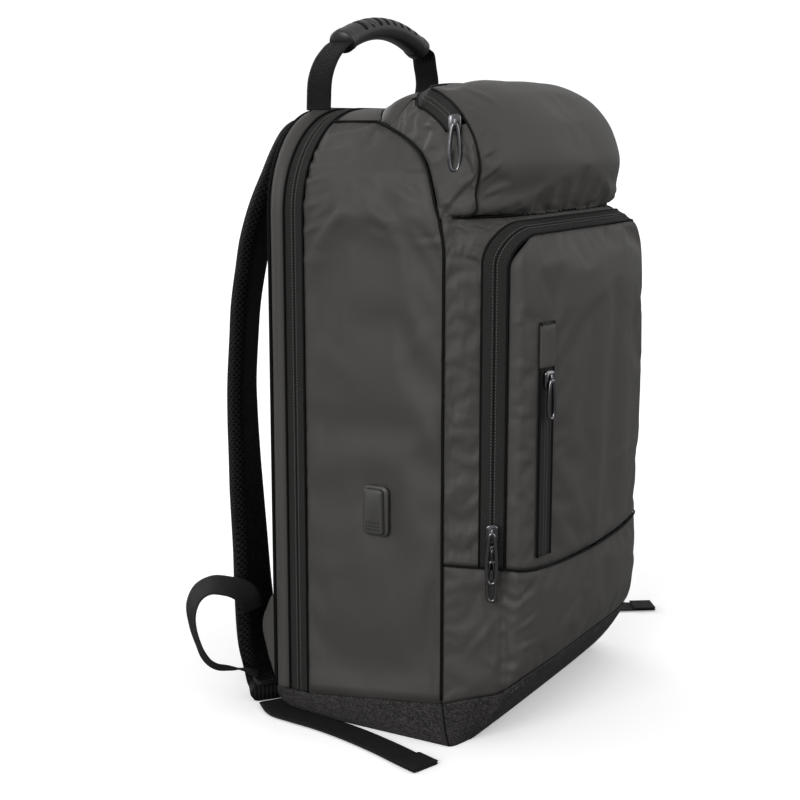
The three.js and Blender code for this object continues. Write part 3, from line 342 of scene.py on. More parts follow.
def ease(value, low, high):
    t = np.clip((value - low) / (high - low), 0, 1)
    return t * t * (3 - 2 * t)


def curve_through(xs, ys, at):
    """A smooth curve without overshoot through rising places."""
    xs = np.asarray(xs, float)
    ys = np.asarray(ys, float)
    at = np.clip(np.asarray(at, float), xs[0], xs[-1])
    steps = np.diff(xs)
    slopes = np.diff(ys) / steps
    tangents = np.zeros(len(xs))
    tangents[0] = slopes[0]
    tangents[-1] = slopes[-1]
    for i in range(1, len(xs) - 1):
        if slopes[i - 1] * slopes[i] > 0:
            w1 = 2 * steps[i] + steps[i - 1]
            w2 = steps[i] + 2 * steps[i - 1]
            tangents[i] = (w1 + w2) / (w1 / slopes[i - 1] + w2 / slopes[i])
    k = np.clip(np.searchsorted(xs, at) - 1, 0, len(steps) - 1)
    h = steps[k]
    t = (at - xs[k]) / h
    a = (1 + 2 * t) * (1 - t) ** 2 * ys[k] + t * (1 - t) ** 2 * h * tangents[k]
    b = t * t * (3 - 2 * t) * ys[k + 1] + t * t * (t - 1) * h * tangents[k + 1]
    return a + b


def look_up(table, key, column, at):
    return curve_through([row[key] for row in table], [row[column] for row in table], at)


def by_row(table, column, place):
    """A column of a table at a fractional row."""
    return curve_through(range(len(table)), [row[column] for row in table], place)


def distances(points):
    """Millimetres from the first point to each one along a line of points."""
    return np.concatenate([[0], np.cumsum(np.linalg.norm(np.diff(points, axis=0), axis=1))])


def resample(points, count):
    """Evenly spaced points on a smooth curve through the given ones."""
    points = np.asarray(points, float)
    n = len(points)
    fine = []
    for i in range(n - 1):
        p0 = points[max(i - 1, 0)]
        p1 = points[i]
        p2 = points[i + 1]
        p3 = points[min(i + 2, n - 1)]
        for t in np.linspace(0, 1, 12, endpoint=False):
            low = 2 * p1 + (p2 - p0) * t
            high = (2 * p0 - 5 * p1 + 4 * p2 - p3) * t * t + (3 * p1 - p0 - 3 * p2 + p3) * t ** 3
            fine.append(0.5 * (low + high))
    fine.append(points[-1])
    fine = np.array(fine)
    run = distances(fine)
    at = np.linspace(0, run[-1], count)
    return np.stack([np.interp(at, run, fine[:, k]) for k in range(points.shape[1])], axis=1)


def vectors(x, y, z):
    return np.stack(np.broadcast_arrays(np.asarray(x, float), y, z), axis=-1)


def unit(v):
    return v / np.maximum(np.linalg.norm(v, axis=-1, keepdims=True), 1e-9)


# The bag's outline: rise is 0 to 1 up the side, 1 to 2 round the corner and 2 to 3 along the top

def corner_radius_at(y):
    to_zip = np.clip((y - SEAM_TOP_Y) / (ZIP_FRONT_Y - SEAM_TOP_Y), 0, 1)
    to_back = np.clip((y - ZIP_REAR_Y) / (BACK_Y - ZIP_REAR_Y), 0, 1)
    return mix(mix(CORNER_RADIUS, ZIP_CORNER_RADIUS, to_zip), BACK_CORNER_RADIUS, to_back)


def half_width_at(y):
    return HALF - FRONT_TAPER * np.clip((ZIP_FRONT_Y - y) / (ZIP_FRONT_Y - FRONT_SEAM_Y), 0, 1)


def outline(sign, rise, y, inset=0.0):
    rise, y, inset = np.broadcast_arrays(np.asarray(rise, float), np.asarray(y, float), inset)
    radius = corner_radius_at(y)
    width = half_width_at(y)
    centre = BAG_HEIGHT - radius
    angle = np.radians(np.clip(rise - 1, 0, 1) * 90)
    shift = (1 - np.sin(angle)) * (centre - CORNER_START)
    turned = width - radius + (radius - inset) * np.cos(angle)
    x = np.where(rise <= 1, width - inset, np.where(rise <= 2, turned, (width - radius) * (3 - rise)))
    over = centre - shift + (radius - inset) * np.sin(angle)
    z = np.where(rise <= 1, rise * CORNER_START, np.where(rise <= 2, over, BAG_HEIGHT - inset))
    return vectors(sign * x, y, z)


def seam_y(rise):
    return FRONT_SEAM_Y + SEAM_SPAN * look_up(SEAM_SWEEP, "rise", "back", rise)


def rim_height(y):
    forward = np.clip((ZIP_FRONT_Y - y) / (ZIP_FRONT_Y - FRONT_SEAM_Y), 0, 1)
    return mix(RIM_SIDE, RIM_CORNER, forward)


def rim_rise(y):
    return (rim_height(y) + SEAM_GAP) / CORNER_START


def arch_height(x, y):
    radius = corner_radius_at(y)
    climb = np.clip((np.abs(x) - half_width_at(y) + radius) / radius, 0, 1)
    return BAG_HEIGHT - radius + radius * np.sqrt(1 - climb * climb)


def front_part(place, column):
    """A column of the front's section, where place runs from -7 at the left seam to 7 at the right."""
    return by_row(FRONT_SECTION, column, 7 - np.abs(place))


def front_point(place, z, up):
    full = look_up(POCKET_FULLNESS, "up", "full", up)
    x = np.sign(place) * front_part(place, "out") * FRONT_HALF
    y = FRONT_SEAM_Y - SEAM_GAP - front_part(place, "deep") * full * POCKET_DEPTH
    return vectors(x, y, z)


def low_seam_z(x):
    away = (x - LOW_SEAM_X) / (FRONT_HALF + LOW_SEAM_X)
    return LOW_SEAM - LOW_SEAM_DIP * (1 - away * away)


LOW_SHARE = (LOW_SEAM - RIM_FRONT) / (POCKET_TOP - RIM_FRONT)


def top_seam_y(x):
    return FRONT_SEAM_Y + TOP_SEAM_BOW * (np.abs(x / FRONT_HALF) ** 5 - 1)


def pocket_rim(sign, rise, inner):
    """The rim of the front pocket's zip, from its outer edge (inner 0) to its inner one (inner 1)."""
    rise, inner = np.broadcast_arrays(np.asarray(rise, float), inner)
    half = FRONT_SECTION[1]["out"] * FRONT_HALF - ZIP_SLOPE * inner
    top = POCKET_TOP - ZIP_RISE * inner
    radius = POCKET_RADIUS - ZIP_SLOPE / 2 * inner
    deep = mix(FRONT_SECTION[1]["deep"], FRONT_SECTION[2]["deep"], inner)
    side_y = FRONT_SEAM_Y - SEAM_GAP - deep * POCKET_DEPTH
    top_y = mix(POCKET_TOP_Y, FRONT_SEAM_Y - POCKET_DEPTH * POCKET_FULLNESS[-1]["full"], inner)
    angle = np.radians(np.clip(rise - 1, 0, 1) * 90)
    low = low_seam_z(sign * half) + SEAM_GAP / 2
    x = np.where(rise <= 2, half - radius + radius * np.cos(angle), (half - radius) * (3 - rise))
    y = mix(side_y, top_y, ease(rise, 1, 2))
    z = np.where(rise <= 1, mix(low, top - radius, rise), top - radius + radius * np.sin(angle))
    return vectors(sign * x, y, z)


def face_half(z):
    rim = pocket_rim(1, 1, 1)
    top = pocket_rim(1, 3, 1)[2]
    radius = top - rim[2]
    climb = np.clip((z - rim[2]) / radius, 0, 1)
    return rim[0] - radius + radius * np.sqrt(1 - climb * climb * 0.985)


def face_point(across, z):
    rim = pocket_rim(1, 1, 1)
    top = pocket_rim(1, 3, 1)
    climb = np.clip((z - rim[2]) / (top[2] - rim[2]), 0, 1)
    edge_y = mix(rim[1], top[1], ease(climb, 0, 1))
    edge = FRONT_SECTION[2]
    outs = [row["out"] for row in reversed(FRONT_SECTION)]
    deeps = [row["deep"] for row in reversed(FRONT_SECTION)]
    deep = curve_through(outs, deeps, np.abs(across) * edge["out"])
    dome = (deep - edge["deep"]) / (1 - edge["deep"])
    full = look_up(POCKET_FULLNESS, "up", "full", (z - RIM_FRONT) / (top[2] - RIM_FRONT))
    reach = np.maximum(FRONT_SEAM_Y - full * POCKET_DEPTH - edge_y, -POCKET_DEPTH)
    return vectors(across * face_half(z), edge_y + np.minimum(reach, 0) * dome, z)


def on_face(x, z, proud):
    point = face_point(x / face_half(z), z)
    beside = face_point((x + 1) / face_half(z), z)
    normal = unit(vectors(beside[..., 1] - point[..., 1], -1, 0))
    return point + normal * proud


def cross_seam(across, room):
    x = across * ROLL_LINES[0]["out"] * HALF
    y = SEAM_TOP_Y + CROSS_SEAM_BOW * (1 - across ** 4) + room
    return vectors(x, y, arch_height(x, y))


def roll_start(sign, line):
    rise = by_row(ROLL_LINES, "rise", line)
    return outline(sign, rise, seam_y(rise) - 2 * SEAM_GAP)


def roll_point(across, line):
    across, line = np.broadcast_arrays(np.asarray(across, float), np.asarray(line, float))
    x = across * by_row(ROLL_LINES, "out", line) * HALF
    middle = 1 - across ** 4
    back = mix(by_row(ROLL_LINES, "end_back", line), by_row(ROLL_LINES, "back", line), middle)
    up = mix(by_row(ROLL_LINES, "end_up", line), by_row(ROLL_LINES, "up", line), middle)
    crest = vectors(x, ROLL_FRONT_Y + back * ROLL_DEPTH, TOP_SEAM + up * ROLL_HEIGHT)
    first = ease(line, 1, 0)[..., None]
    last = ease(line, 8, 9)[..., None]
    low = vectors(x, top_seam_y(x), TOP_SEAM + SEAM_GAP / 2)
    crest = mix(crest, cross_seam(across, -SEAM_GAP), first)
    return mix(crest, low, last)


# Meshes

def grid_normals(grid, away_from):
    up = np.gradient(grid, axis=0)
    along = np.gradient(grid, axis=1)
    normal = unit(np.cross(up, along))
    r, c = grid.shape[0] // 2, grid.shape[1] // 2
    if np.dot(normal[r, c], grid[r, c] - np.asarray(away_from, float)) < 0:
        normal = -normal
    return normal


def lengths(grid):
    """Millimetres along the rows and down the columns of a grid."""
    across = np.linalg.norm(np.diff(grid, axis=1), axis=2)
    down = np.linalg.norm(np.diff(grid, axis=0), axis=2)
    u = np.concatenate([np.zeros((grid.shape[0], 1)), np.cumsum(across, axis=1)], axis=1)
    v = np.concatenate([np.zeros((1, grid.shape[1])), np.cumsum(down, axis=0)], axis=0)
    return u, v


def build(name, points, faces, slot, uvs=None, smooth=True):
    mesh = bpy.data.meshes.new(name)
    mesh.from_pydata((np.asarray(points) * MM).tolist(), [], faces)
    if uvs is not None:
        layer = mesh.uv_layers.new(name="cloth")
        corner = np.empty(len(mesh.loops), dtype=np.int32)
        mesh.loops.foreach_get("vertex_index", corner)
        layer.data.foreach_set("uv", np.asarray(uvs, dtype=np.float32)[corner].ravel())
    mesh.polygons.foreach_set("use_smooth", [smooth] * len(mesh.polygons))
    mesh.update()
    obj = bpy.data.objects.new(name, mesh)
    bpy.context.collection.objects.link(obj)
    obj.data.materials.append(MATERIALS[slot])
    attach(obj, "root")
    return obj


def grid_faces(rows, columns, start=0, flip=False, closed=False):
    faces = []
    for r in range(rows - 1):
        for c in range(columns if closed else columns - 1):
            a = start + r * columns + c
            b = start + r * columns + (c + 1) % columns
            quad = (a, b, b + columns, a + columns)
            faces.append(quad[::-1] if flip else quad)
    return faces


def sheet_mesh(name, grid, thickness, slot, away_from):
    """A sheet of cloth whose outer face is the grid."""
    rows, columns = grid.shape[:2]
    normal = grid_normals(grid, away_from)
    inner = grid - normal * thickness
    points = np.concatenate([grid.reshape(-1, 3), inner.reshape(-1, 3)])
    half = rows * columns
    r, c = rows // 2, columns // 2
    up = grid[min(r + 1, rows - 1), c] - grid[r, c]
    along = grid[r, min(c + 1, columns - 1)] - grid[r, c]
    outward = np.dot(np.cross(along, up), normal[r, c]) > 0
    faces = grid_faces(rows, columns, 0, not outward)
    faces += grid_faces(rows, columns, half, outward)
    border = [c for c in range(columns)]
    border += [r * columns + columns - 1 for r in range(1, rows)]
    border += [(rows - 1) * columns + c for c in range(columns - 2, -1, -1)]
    border += [r * columns for r in range(rows - 2, 0, -1)]
    for i, a in enumerate(border):
        b = border[(i + 1) % len(border)]
        quad = (b, a, half + a, half + b)
        faces.append(quad if outward else quad[::-1])
    u, v = lengths(grid)
    uv = np.stack([u, v], axis=-1).reshape(-1, 2)
    return build(name, points, faces, slot, np.concatenate([uv, uv]))


def panel(name, node, grid, away_from, slot="coated_fabric", thickness=CLOTH):
    """A sheet of cloth that stands for a node of the frame."""
    piece = sheet_mesh(name, grid, thickness, slot, away_from)
    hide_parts(node)
    return piece


def edge_distances(grid):
    """Millimetres from each edge of a grid: first row, last row, first column, last column."""
    u, v = lengths(grid)
    return v, v[-1:, :] - v, u, u[:, -1:] - u


def rolled(grid, away_from, depths, reach=3.5):
    """Pulls a cloth's edges into their seams, each by its own depth."""
    normal = grid_normals(grid, away_from)
    pull = np.zeros(grid.shape[:2])
    for distance, depth in zip(edge_distances(grid), depths):
        if depth:
            pull = np.maximum(pull, depth * np.exp(-(distance / reach) ** 1.5))
    return grid - normal * pull[..., None]


def creased(grid, away_from, folds):
    """Raises soft folds on a cloth, each with a shallow dip beside it."""
    normal = grid_normals(grid, away_from)
    u, v = lengths(grid)
    lift = np.zeros(grid.shape[:2])
    for fold in folds:
        r = int(fold["down"] * (grid.shape[0] - 1))
        c = int(fold["across"] * (grid.shape[1] - 1))
        du = u - u[r, c]
        dv = v - v[r, c]
        turn = math.radians(fold["turn"])
        cos, sin = math.cos(turn), math.sin(turn)
        along = (du * cos + dv * sin) / fold["length"]
        over = (-du * sin + dv * cos) / fold["width"]
        shape = np.exp(-over * over * 2) - 0.6 * np.exp(-((over - 1.1) ** 2) * 2)
        lift += fold["height"] * shape * np.exp(-(along ** 2) * 3)
    return grid + normal * lift[..., None]


def smoothed(values, rounds):
    """Evens a grid of values out over its neighbours."""
    for _ in range(rounds):
        padded = np.pad(values, ((1, 1), (1, 1), (0, 0)), mode="edge")
        ring = padded[:-2, 1:-1] + padded[2:, 1:-1] + padded[1:-1, :-2] + padded[1:-1, 2:]
        values = values * 0.2 + ring * 0.2
    return values


def settled(grid, away_from, growth, bend, cap=4.0, keep=0.25, held=None, steps=16):
    """Lets the cloth of a grid, held at its edges and cut slightly too large, buckle into soft folds.
    keep is how much of the general swelling stays."""
    rows, columns = grid.shape[:2]
    mesh = bpy.data.meshes.new("settling")
    mesh.from_pydata((grid.reshape(-1, 3) * MM).tolist(), [], grid_faces(rows, columns))
    obj = bpy.data.objects.new("settling", mesh)
    bpy.context.collection.objects.link(obj)
    pins = obj.vertex_groups.new(name="pins")
    edge = np.zeros((rows, columns), bool)
    edge[0] = edge[-1] = True
    edge[:, 0] = edge[:, -1] = True
    if held is not None:
        edge |= held
    pins.add(np.flatnonzero(edge.ravel()).tolist(), 1.0, "REPLACE")
    cloth = obj.modifiers.new("cloth", "CLOTH")
    settings = cloth.settings
    settings.quality = 5
    settings.mass = 0.25
    settings.bending_stiffness = bend
    settings.bending_damping = 1
    for way in ("tension", "compression", "shear"):
        setattr(settings, f"{way}_stiffness", 7.5 if way == "shear" else 15)
        setattr(settings, f"{way}_damping", 15)
    settings.air_damping = 4
    settings.vertex_group_mass = "pins"
    settings.shrink_min = -growth
    settings.effector_weights.gravity = 0
    cloth.collision_settings.use_collision = False
    cloth.point_cache.frame_start = 1
    cloth.point_cache.frame_end = steps
    scene = bpy.context.scene
    for step in range(1, steps + 1):
        scene.frame_set(step)
    shaped = obj.evaluated_get(bpy.context.evaluated_depsgraph_get())
    found = np.empty(len(shaped.data.vertices) * 3)
    shaped.data.vertices.foreach_get("co", found)
    moved = found.reshape(rows, columns, 3) / MM - grid
    moved -= (1 - keep) * smoothed(moved, 120)
    far = np.linalg.norm(moved, axis=2, keepdims=True)
    moved *= np.minimum(far, cap) / np.maximum(far, 1e-6)
    bpy.data.objects.remove(obj, do_unlink=True)
    scene.frame_set(1)
    return grid + moved


def tube(name, path, radius, slot, sides=8):
    path = np.asarray(path, float)
    count = len(path)
    radii = np.broadcast_to(np.asarray(radius, float), (count,))
    along = unit(np.gradient(path, axis=0))
    side = unit(np.cross(along[0], [0.31, 0.17, 0.93]))
    points = []
    uvs = []
    run = distances(path)
    for i in range(count):
        side = unit(side - along[i] * np.dot(side, along[i]))
        other = np.cross(along[i], side)
        for k in range(sides):
            angle = 2 * math.pi * k / sides
            way = side * math.cos(angle) + other * math.sin(angle)
            points.append(path[i] + way * radii[i])
            uvs.append((radii[i] * angle, run[i]))
    faces = grid_faces(count, sides, closed=True)
    faces.append(tuple(range(sides))[::-1])
    faces.append(tuple((count - 1) * sides + k for k in range(sides)))
    return build(name, points, faces, slot, uvs)


def laid(points, count):
    """Even points along a line, and the fractional row of the table that each one comes from."""
    points = np.asarray(points, float)
    run = distances(points)
    place = np.interp(np.linspace(0, run[-1], count), run, np.arange(len(points)))
    return resample(points, count), place


def ribbon(name, middles, acrosses, widths, thickness, slot, edge=None):
    """A flat strip with soft edges along a path."""
    middles = np.asarray(middles, float)
    acrosses = unit(np.asarray(acrosses, float))
    count = len(middles)
    widths = np.broadcast_to(np.asarray(widths, float), (count,))
    along = unit(np.gradient(middles, axis=0))
    normal = unit(np.cross(along, acrosses))
    soft = thickness / 2 if edge is None else edge
    spots = []
    for side in (1, -1):
        shares = np.linspace(-1, 1, 13) * side
        for share in shares:
            spots.append((share, side))
    points = np.zeros((count, len(spots), 3))
    uvs = np.zeros((count, len(spots), 2))
    run = distances(middles)
    for k, (share, side) in enumerate(spots):
        offset = widths / 2 * share
        from_edge = np.maximum(widths / 2 - np.abs(offset), 0)
        height = np.sqrt(np.clip(1 - (1 - np.minimum(from_edge / soft, 1)) ** 2, 0.0, 1))
        rise = side * thickness / 2 * np.maximum(height, 0.12)
        points[:, k] = middles + acrosses * offset[:, None] + normal * rise[:, None]
        uvs[:, k, 0] = offset
        uvs[:, k, 1] = run
    faces = grid_faces(count, len(spots), closed=True)
    faces.append(tuple(range(len(spots)))[::-1])
    faces.append(tuple((count - 1) * len(spots) + k for k in range(len(spots))))
    return build(name, points.reshape(-1, 3), faces, slot, uvs.reshape(-1, 2))


def stitches(name, path, normals, slot, pitch=STITCH_PITCH, length=1.5, width=0.55, height=0.35):
    """A row of sewn stitches lying on a surface along a path."""
    path = np.asarray(path, float)
    run = distances(path)
    count = max(int(run[-1] / pitch), 2)
    at = (np.arange(count) + 0.5) * run[-1] / count
    middle = np.stack([np.interp(at, run, path[:, k]) for k in range(3)], axis=1)
    ahead = np.stack([np.interp(at + 0.3, run, path[:, k]) for k in range(3)], axis=1)
    behind = np.stack([np.interp(at - 0.3, run, path[:, k]) for k in range(3)], axis=1)
    normal = unit(np.stack([np.interp(at, run, normals[:, k]) for k in range(3)], axis=1))
    along = unit(ahead - behind)
    side = unit(np.cross(along, normal))
    ring = [(-1, -0.5, 0), (-1, 0.5, 0), (-0.5, -1, 0), (-0.5, 1, 0), (0.5, -1, 0), (0.5, 1, 0)]
    ring += [(1, -0.5, 0), (1, 0.5, 0), (-0.5, 0, 1), (0.5, 0, 1)]
    points = []
    for a, b, h in ring:
        offset = along * a * length / 2 + side * b * width / 2 + normal * h * height
        points.append(middle + offset)
    points = np.stack(points, axis=1)
    quads = [(0, 1, 3, 8), (2, 0, 8), (3, 5, 9, 8), (4, 2, 8, 9), (5, 7, 9), (6, 4, 9), (7, 6, 9)]
    faces = []
    for i in range(count):
        faces += [tuple(i * 10 + k for k in quad) for quad in quads]
    return build(name, points.reshape(-1, 3), faces, slot)


def zip_stitches(name, grid, normal, lines, proud=0.0):
    """Rows of stitches along columns of a zip's grid."""
    for word, column in lines:
        path = grid[:, column] + normal[:, column] * proud
        stitches(f"{name}_{word}", path, normal[:, column], "thread")


def solid(name, outline_points, low, high, bevel, slot, place):
    """A flat plate with rounded edges, cut to an outline, laid by a 4x4 placing matrix."""
    rings = []
    for share in (0, 0.5, 1):
        angle = share * math.pi / 2
        rings.append((bevel * (1 - math.sin(angle)), low + bevel * (1 - math.cos(angle))))
    for share in (0, 0.5, 1):
        angle = share * math.pi / 2
        rings.append((bevel * (1 - math.cos(angle)), high - bevel * (1 - math.sin(angle))))
    shape = np.asarray(outline_points, float)
    after = np.roll(shape, -1, axis=0)
    before = np.roll(shape, 1, axis=0)
    tangent = unit(after - before)
    inward = np.stack([-tangent[:, 1], tangent[:, 0]], axis=1)
    points = []
    for inset, height in rings:
        ring = shape + inward * inset
        points += [(x, y, height) for x, y in ring]
    n = len(shape)
    faces = grid_faces(len(rings), n, closed=True)
    faces.append(tuple(range(n))[::-1])
    faces.append(tuple((len(rings) - 1) * n + k for k in range(n)))
    points = np.asarray(points)
    placed = points @ np.asarray(place)[:3, :3].T + np.asarray(place)[:3, 3]
    return build(name, placed, faces, slot)


def rounded_rectangle(width, height, radius, steps=6):
    points = []
    for cx, cy, start in ((1, -1, -90), (1, 1, 0), (-1, 1, 90), (-1, -1, 180)):
        for i in range(steps + 1):
            angle = math.radians(start + 90 * i / steps)
            x = cx * (width / 2 - radius) + radius * math.cos(angle)
            y = cy * (height / 2 - radius) + radius * math.sin(angle)
            points.append((x, y))
    return points


# Materials

class Shader:
    """A material's node tree, with short ways to add nodes."""

    def __init__(self, name):
        self.material = bpy.data.materials.new(name)
        self.material.use_nodes = True
        self.tree = self.material.node_tree
        self.surface = self.tree.nodes["Principled BSDF"]

    def node(self, kind, **settings):
        made = self.tree.nodes.new(kind)
        for key, value in settings.items():
            setattr(made, key, value)
        return made

    def link(self, value, socket):
        if isinstance(value, (int, float)):
            socket.default_value = value
        else:
            self.tree.links.new(value, socket)

    def math(self, operation, a, b=0.0, c=0.0):
        made = self.node("ShaderNodeMath", operation=operation)
        self.link(a, made.inputs[0])
        self.link(b, made.inputs[1])
        self.link(c, made.inputs[2])
        return made.outputs[0]

    def ramp(self, value, low, high, start=0.0, end=1.0):
        made = self.node("ShaderNodeMapRange", interpolation_type="SMOOTHSTEP")
        self.link(value, made.inputs["Value"])
        made.inputs["From Min"].default_value = low
        made.inputs["From Max"].default_value = high
        made.inputs["To Min"].default_value = start
        made.inputs["To Max"].default_value = end
        return made.outputs["Result"]

    def colours(self, value, first, second):
        made = self.node("ShaderNodeMix", data_type="RGBA")
        self.link(value, made.inputs["Factor"])
        made.inputs["A"].default_value = (*first, 1)
        made.inputs["B"].default_value = (*second, 1)
        return made.outputs["Result"]

    def uv(self):
        split = self.node("ShaderNodeSeparateXYZ")
        where = self.node("ShaderNodeUVMap", uv_map="cloth")
        self.tree.links.new(where.outputs["UV"], split.inputs[0])
        return split.outputs["X"], split.outputs["Y"]

    def noise(self, scale, detail=3.0, rough=0.5, stretch=(1, 1, 1)):
        where = self.node("ShaderNodeTexCoord")
        scaled = self.node("ShaderNodeMapping")
        scaled.inputs["Scale"].default_value = stretch
        self.tree.links.new(where.outputs["Object"], scaled.inputs["Vector"])
        made = self.node("ShaderNodeTexNoise")
        self.tree.links.new(scaled.outputs["Vector"], made.inputs["Vector"])
        made.inputs["Scale"].default_value = scale
        made.inputs["Detail"].default_value = detail
        made.inputs["Roughness"].default_value = rough
        return made.outputs["Fac"]

    def bump(self, height, distance, strength=1.0, after=None):
        made = self.node("ShaderNodeBump")
        made.inputs["Strength"].default_value = strength
        made.inputs["Distance"].default_value = distance
        self.link(height, made.inputs["Height"])
        if after is not None:
            self.tree.links.new(after, made.inputs["Normal"])
        return made.outputs["Normal"]

    def finish(self, colour, roughness, metallic=0.0, normal=None, sheen=0.0, specular=0.5, coat=0.0):
        if isinstance(colour, tuple):
            self.surface.inputs["Base Color"].default_value = (*colour, 1)
        else:
            self.tree.links.new(colour, self.surface.inputs["Base Color"])
        self.link(roughness, self.surface.inputs["Roughness"])
        self.surface.inputs["Metallic"].default_value = metallic
        self.surface.inputs["Sheen Weight"].default_value = sheen
        self.surface.inputs["Sheen Roughness"].default_value = 0.4
        self.surface.inputs["Specular IOR Level"].default_value = specular
        self.surface.inputs["Coat Weight"].default_value = coat
        self.surface.inputs["Coat Roughness"].default_value = 0.15
        if normal is not None:
            self.tree.links.new(normal, self.surface.inputs["Normal"])
        return self.material


def waves(shader, value, pitch):
    """0 to 1 and back over each pitch."""
    return shader.math("SINE", shader.math("MULTIPLY", value, 2 * math.pi / pitch))


def coated_fabric():
    shader = Shader("coated_fabric")
    u, v = shader.uv()
    weave = shader.math("MULTIPLY", waves(shader, u, 0.8), waves(shader, v, 0.8))
    cloudy = shader.noise(18, 4, 0.55)
    grain = shader.noise(900, 2, 0.6)
    height = shader.bump(weave, 0.00005, 0.5)
    height = shader.bump(grain, 0.00008, 0.5, height)
    colour = shader.colours(cloudy, (0.046, 0.0438, 0.041), (0.055, 0.0525, 0.0495))
    rough = shader.ramp(cloudy, 0.3, 0.7, 0.5, 0.58)
    return shader.finish(colour, rough, normal=height, sheen=0.05, specular=0.3)


def ballistic_fabric():
    shader = Shader("ballistic_fabric")
    u, v = shader.uv()
    bricks = shader.node("ShaderNodeTexBrick", offset=0.5, squash=1.0)
    joined = shader.node("ShaderNodeCombineXYZ")
    shader.link(shader.math("ADD", u, v), joined.inputs[0])
    shader.link(shader.math("SUBTRACT", v, u), joined.inputs[1])
    shader.tree.links.new(joined.outputs[0], bricks.inputs["Vector"])
    bricks.inputs["Scale"].default_value = 1.0
    bricks.inputs["Brick Width"].default_value = 3.2
    bricks.inputs["Row Height"].default_value = 1.5
    bricks.inputs["Mortar Size"].default_value = 0.22
    bricks.inputs["Mortar Smooth"].default_value = 0.6
    bricks.inputs["Bias"].default_value = -0.35
    bricks.inputs["Color1"].default_value = (0.022, 0.0205, 0.0205, 1)
    bricks.inputs["Color2"].default_value = (0.10, 0.093, 0.092, 1)
    bricks.inputs["Mortar"].default_value = (0.005, 0.0045, 0.0045, 1)
    gaps = shader.math("SUBTRACT", 1.0, bricks.outputs["Fac"])
    height = shader.bump(gaps, 0.0004, 0.8)
    return shader.finish(bricks.outputs["Color"], 0.62, normal=height, specular=0.15, sheen=0.02)


def air_mesh(name, threads):
    shader = Shader(name)
    u, v = shader.uv()
    pitch = 3.4
    found = []
    for shift in (0.0, 0.5):
        x = shader.math("ADD", shader.math("DIVIDE", u, pitch), shift)
        y = shader.math("ADD", shader.math("DIVIDE", v, pitch * 1.5), shift)
        x = shader.math("SUBTRACT", shader.math("FRACT", x), 0.5)
        y = shader.math("MULTIPLY", shader.math("SUBTRACT", shader.math("FRACT", y), 0.5), 1.5)
        square = shader.math("ADD", shader.math("MULTIPLY", x, x), shader.math("MULTIPLY", y, y))
        found.append(shader.math("SQRT", square))
    near = shader.math("MINIMUM", *found)
    thread = shader.ramp(near, 0.26, 0.40)
    height = shader.bump(thread, 0.0012, 1.0)
    # The holes between the threads are painted an eighth as bright as the threads: painted shade inside the
    # holes.
    hole = (threads / 8, threads / 8, threads / 8)
    colour = shader.colours(thread, hole, (threads, threads * 0.98, threads * 0.96))
    return shader.finish(colour, 0.8, normal=height, specular=0.12)


def webbing():
    shader = Shader("webbing")
    u, v = shader.uv()
    share = shader.math("FRACT", shader.math("DIVIDE", u, 2.6))
    zigzag = shader.math("ABSOLUTE", shader.math("SUBTRACT", share, 0.5))
    slanted = shader.math("ADD", v, shader.math("MULTIPLY", zigzag, 2.6))
    ribs = waves(shader, slanted, 1.5)
    height = shader.bump(ribs, 0.00035, 0.8)
    colour = shader.colours(shader.ramp(ribs, -0.6, 0.9), (0.005, 0.0046, 0.0046), (0.021, 0.0198, 0.0194))
    return shader.finish(colour, 0.65, normal=height, specular=0.15)


def zip_tape():
    shader = Shader("zip_tape")
    u, v = shader.uv()
    weave = shader.math("MULTIPLY", waves(shader, u, 1.5), waves(shader, v, 1.3))
    height = shader.bump(weave, 0.00035, 1.0)
    colour = shader.colours(shader.ramp(weave, -0.8, 0.8), (0.012, 0.0117, 0.0112), (0.048, 0.047, 0.0455))
    return shader.finish(colour, 0.7, normal=height, specular=0.15)


def plain(name, colour, roughness, metallic=0.0, grain=0.0, scale=600, specular=0.5, coat=0.0):
    shader = Shader(name)
    normal = None
    if grain:
        normal = shader.bump(shader.noise(scale, 2, 0.6), grain, 0.7)
    return shader.finish(colour, roughness, metallic, normal, specular=specular, coat=coat)


MATERIALS = {
    "coated_fabric": coated_fabric(),
    "ballistic_fabric": ballistic_fabric(),
    # The mesh on the straps and back is a much darker copy of the pad mesh: partly the pads' own lighter
    # mesh, partly painted shade of the straps, which face away from the light.
    "air_mesh": air_mesh("air_mesh", 0.013),
    "pad_mesh": air_mesh("pad_mesh", 0.1),
    "webbing": webbing(),
    "zip_tape": zip_tape(),
    "gunmetal": plain("gunmetal", (0.16, 0.16, 0.168), 0.16, 1.0),
    "grip_rubber": plain("grip_rubber", (0.016, 0.0155, 0.015), 0.38, grain=0.00004, scale=900),
    "black_plastic": plain("black_plastic", (0.006, 0.006, 0.006), 0.38),
    # Near-black: real piping at the corners and seams, and painted seam shade as the lines along the zips'
    # edges, the top pocket's end seams and the base corners.
    "piping_and_seam_shade": plain("piping_and_seam_shade", (0.0025, 0.0025, 0.0025), 0.6, grain=0.00012, scale=1400, specular=0.12),
    "thread": plain("thread", (0.085, 0.083, 0.08), 0.55),
    "cover_plastic": plain("cover_plastic", (0.046, 0.0445, 0.043), 0.4, grain=0.00004, scale=1200),
    # Near-black, painted as the shade inside holes, grooves and dimples.
    "hole": plain("hole", (0.004, 0.004, 0.004), 0.9),
}
SIDES = [("left", -1), ("right", 1)]
MIDDLE = (0, 0, BAG_HEIGHT / 2)


# Side panels

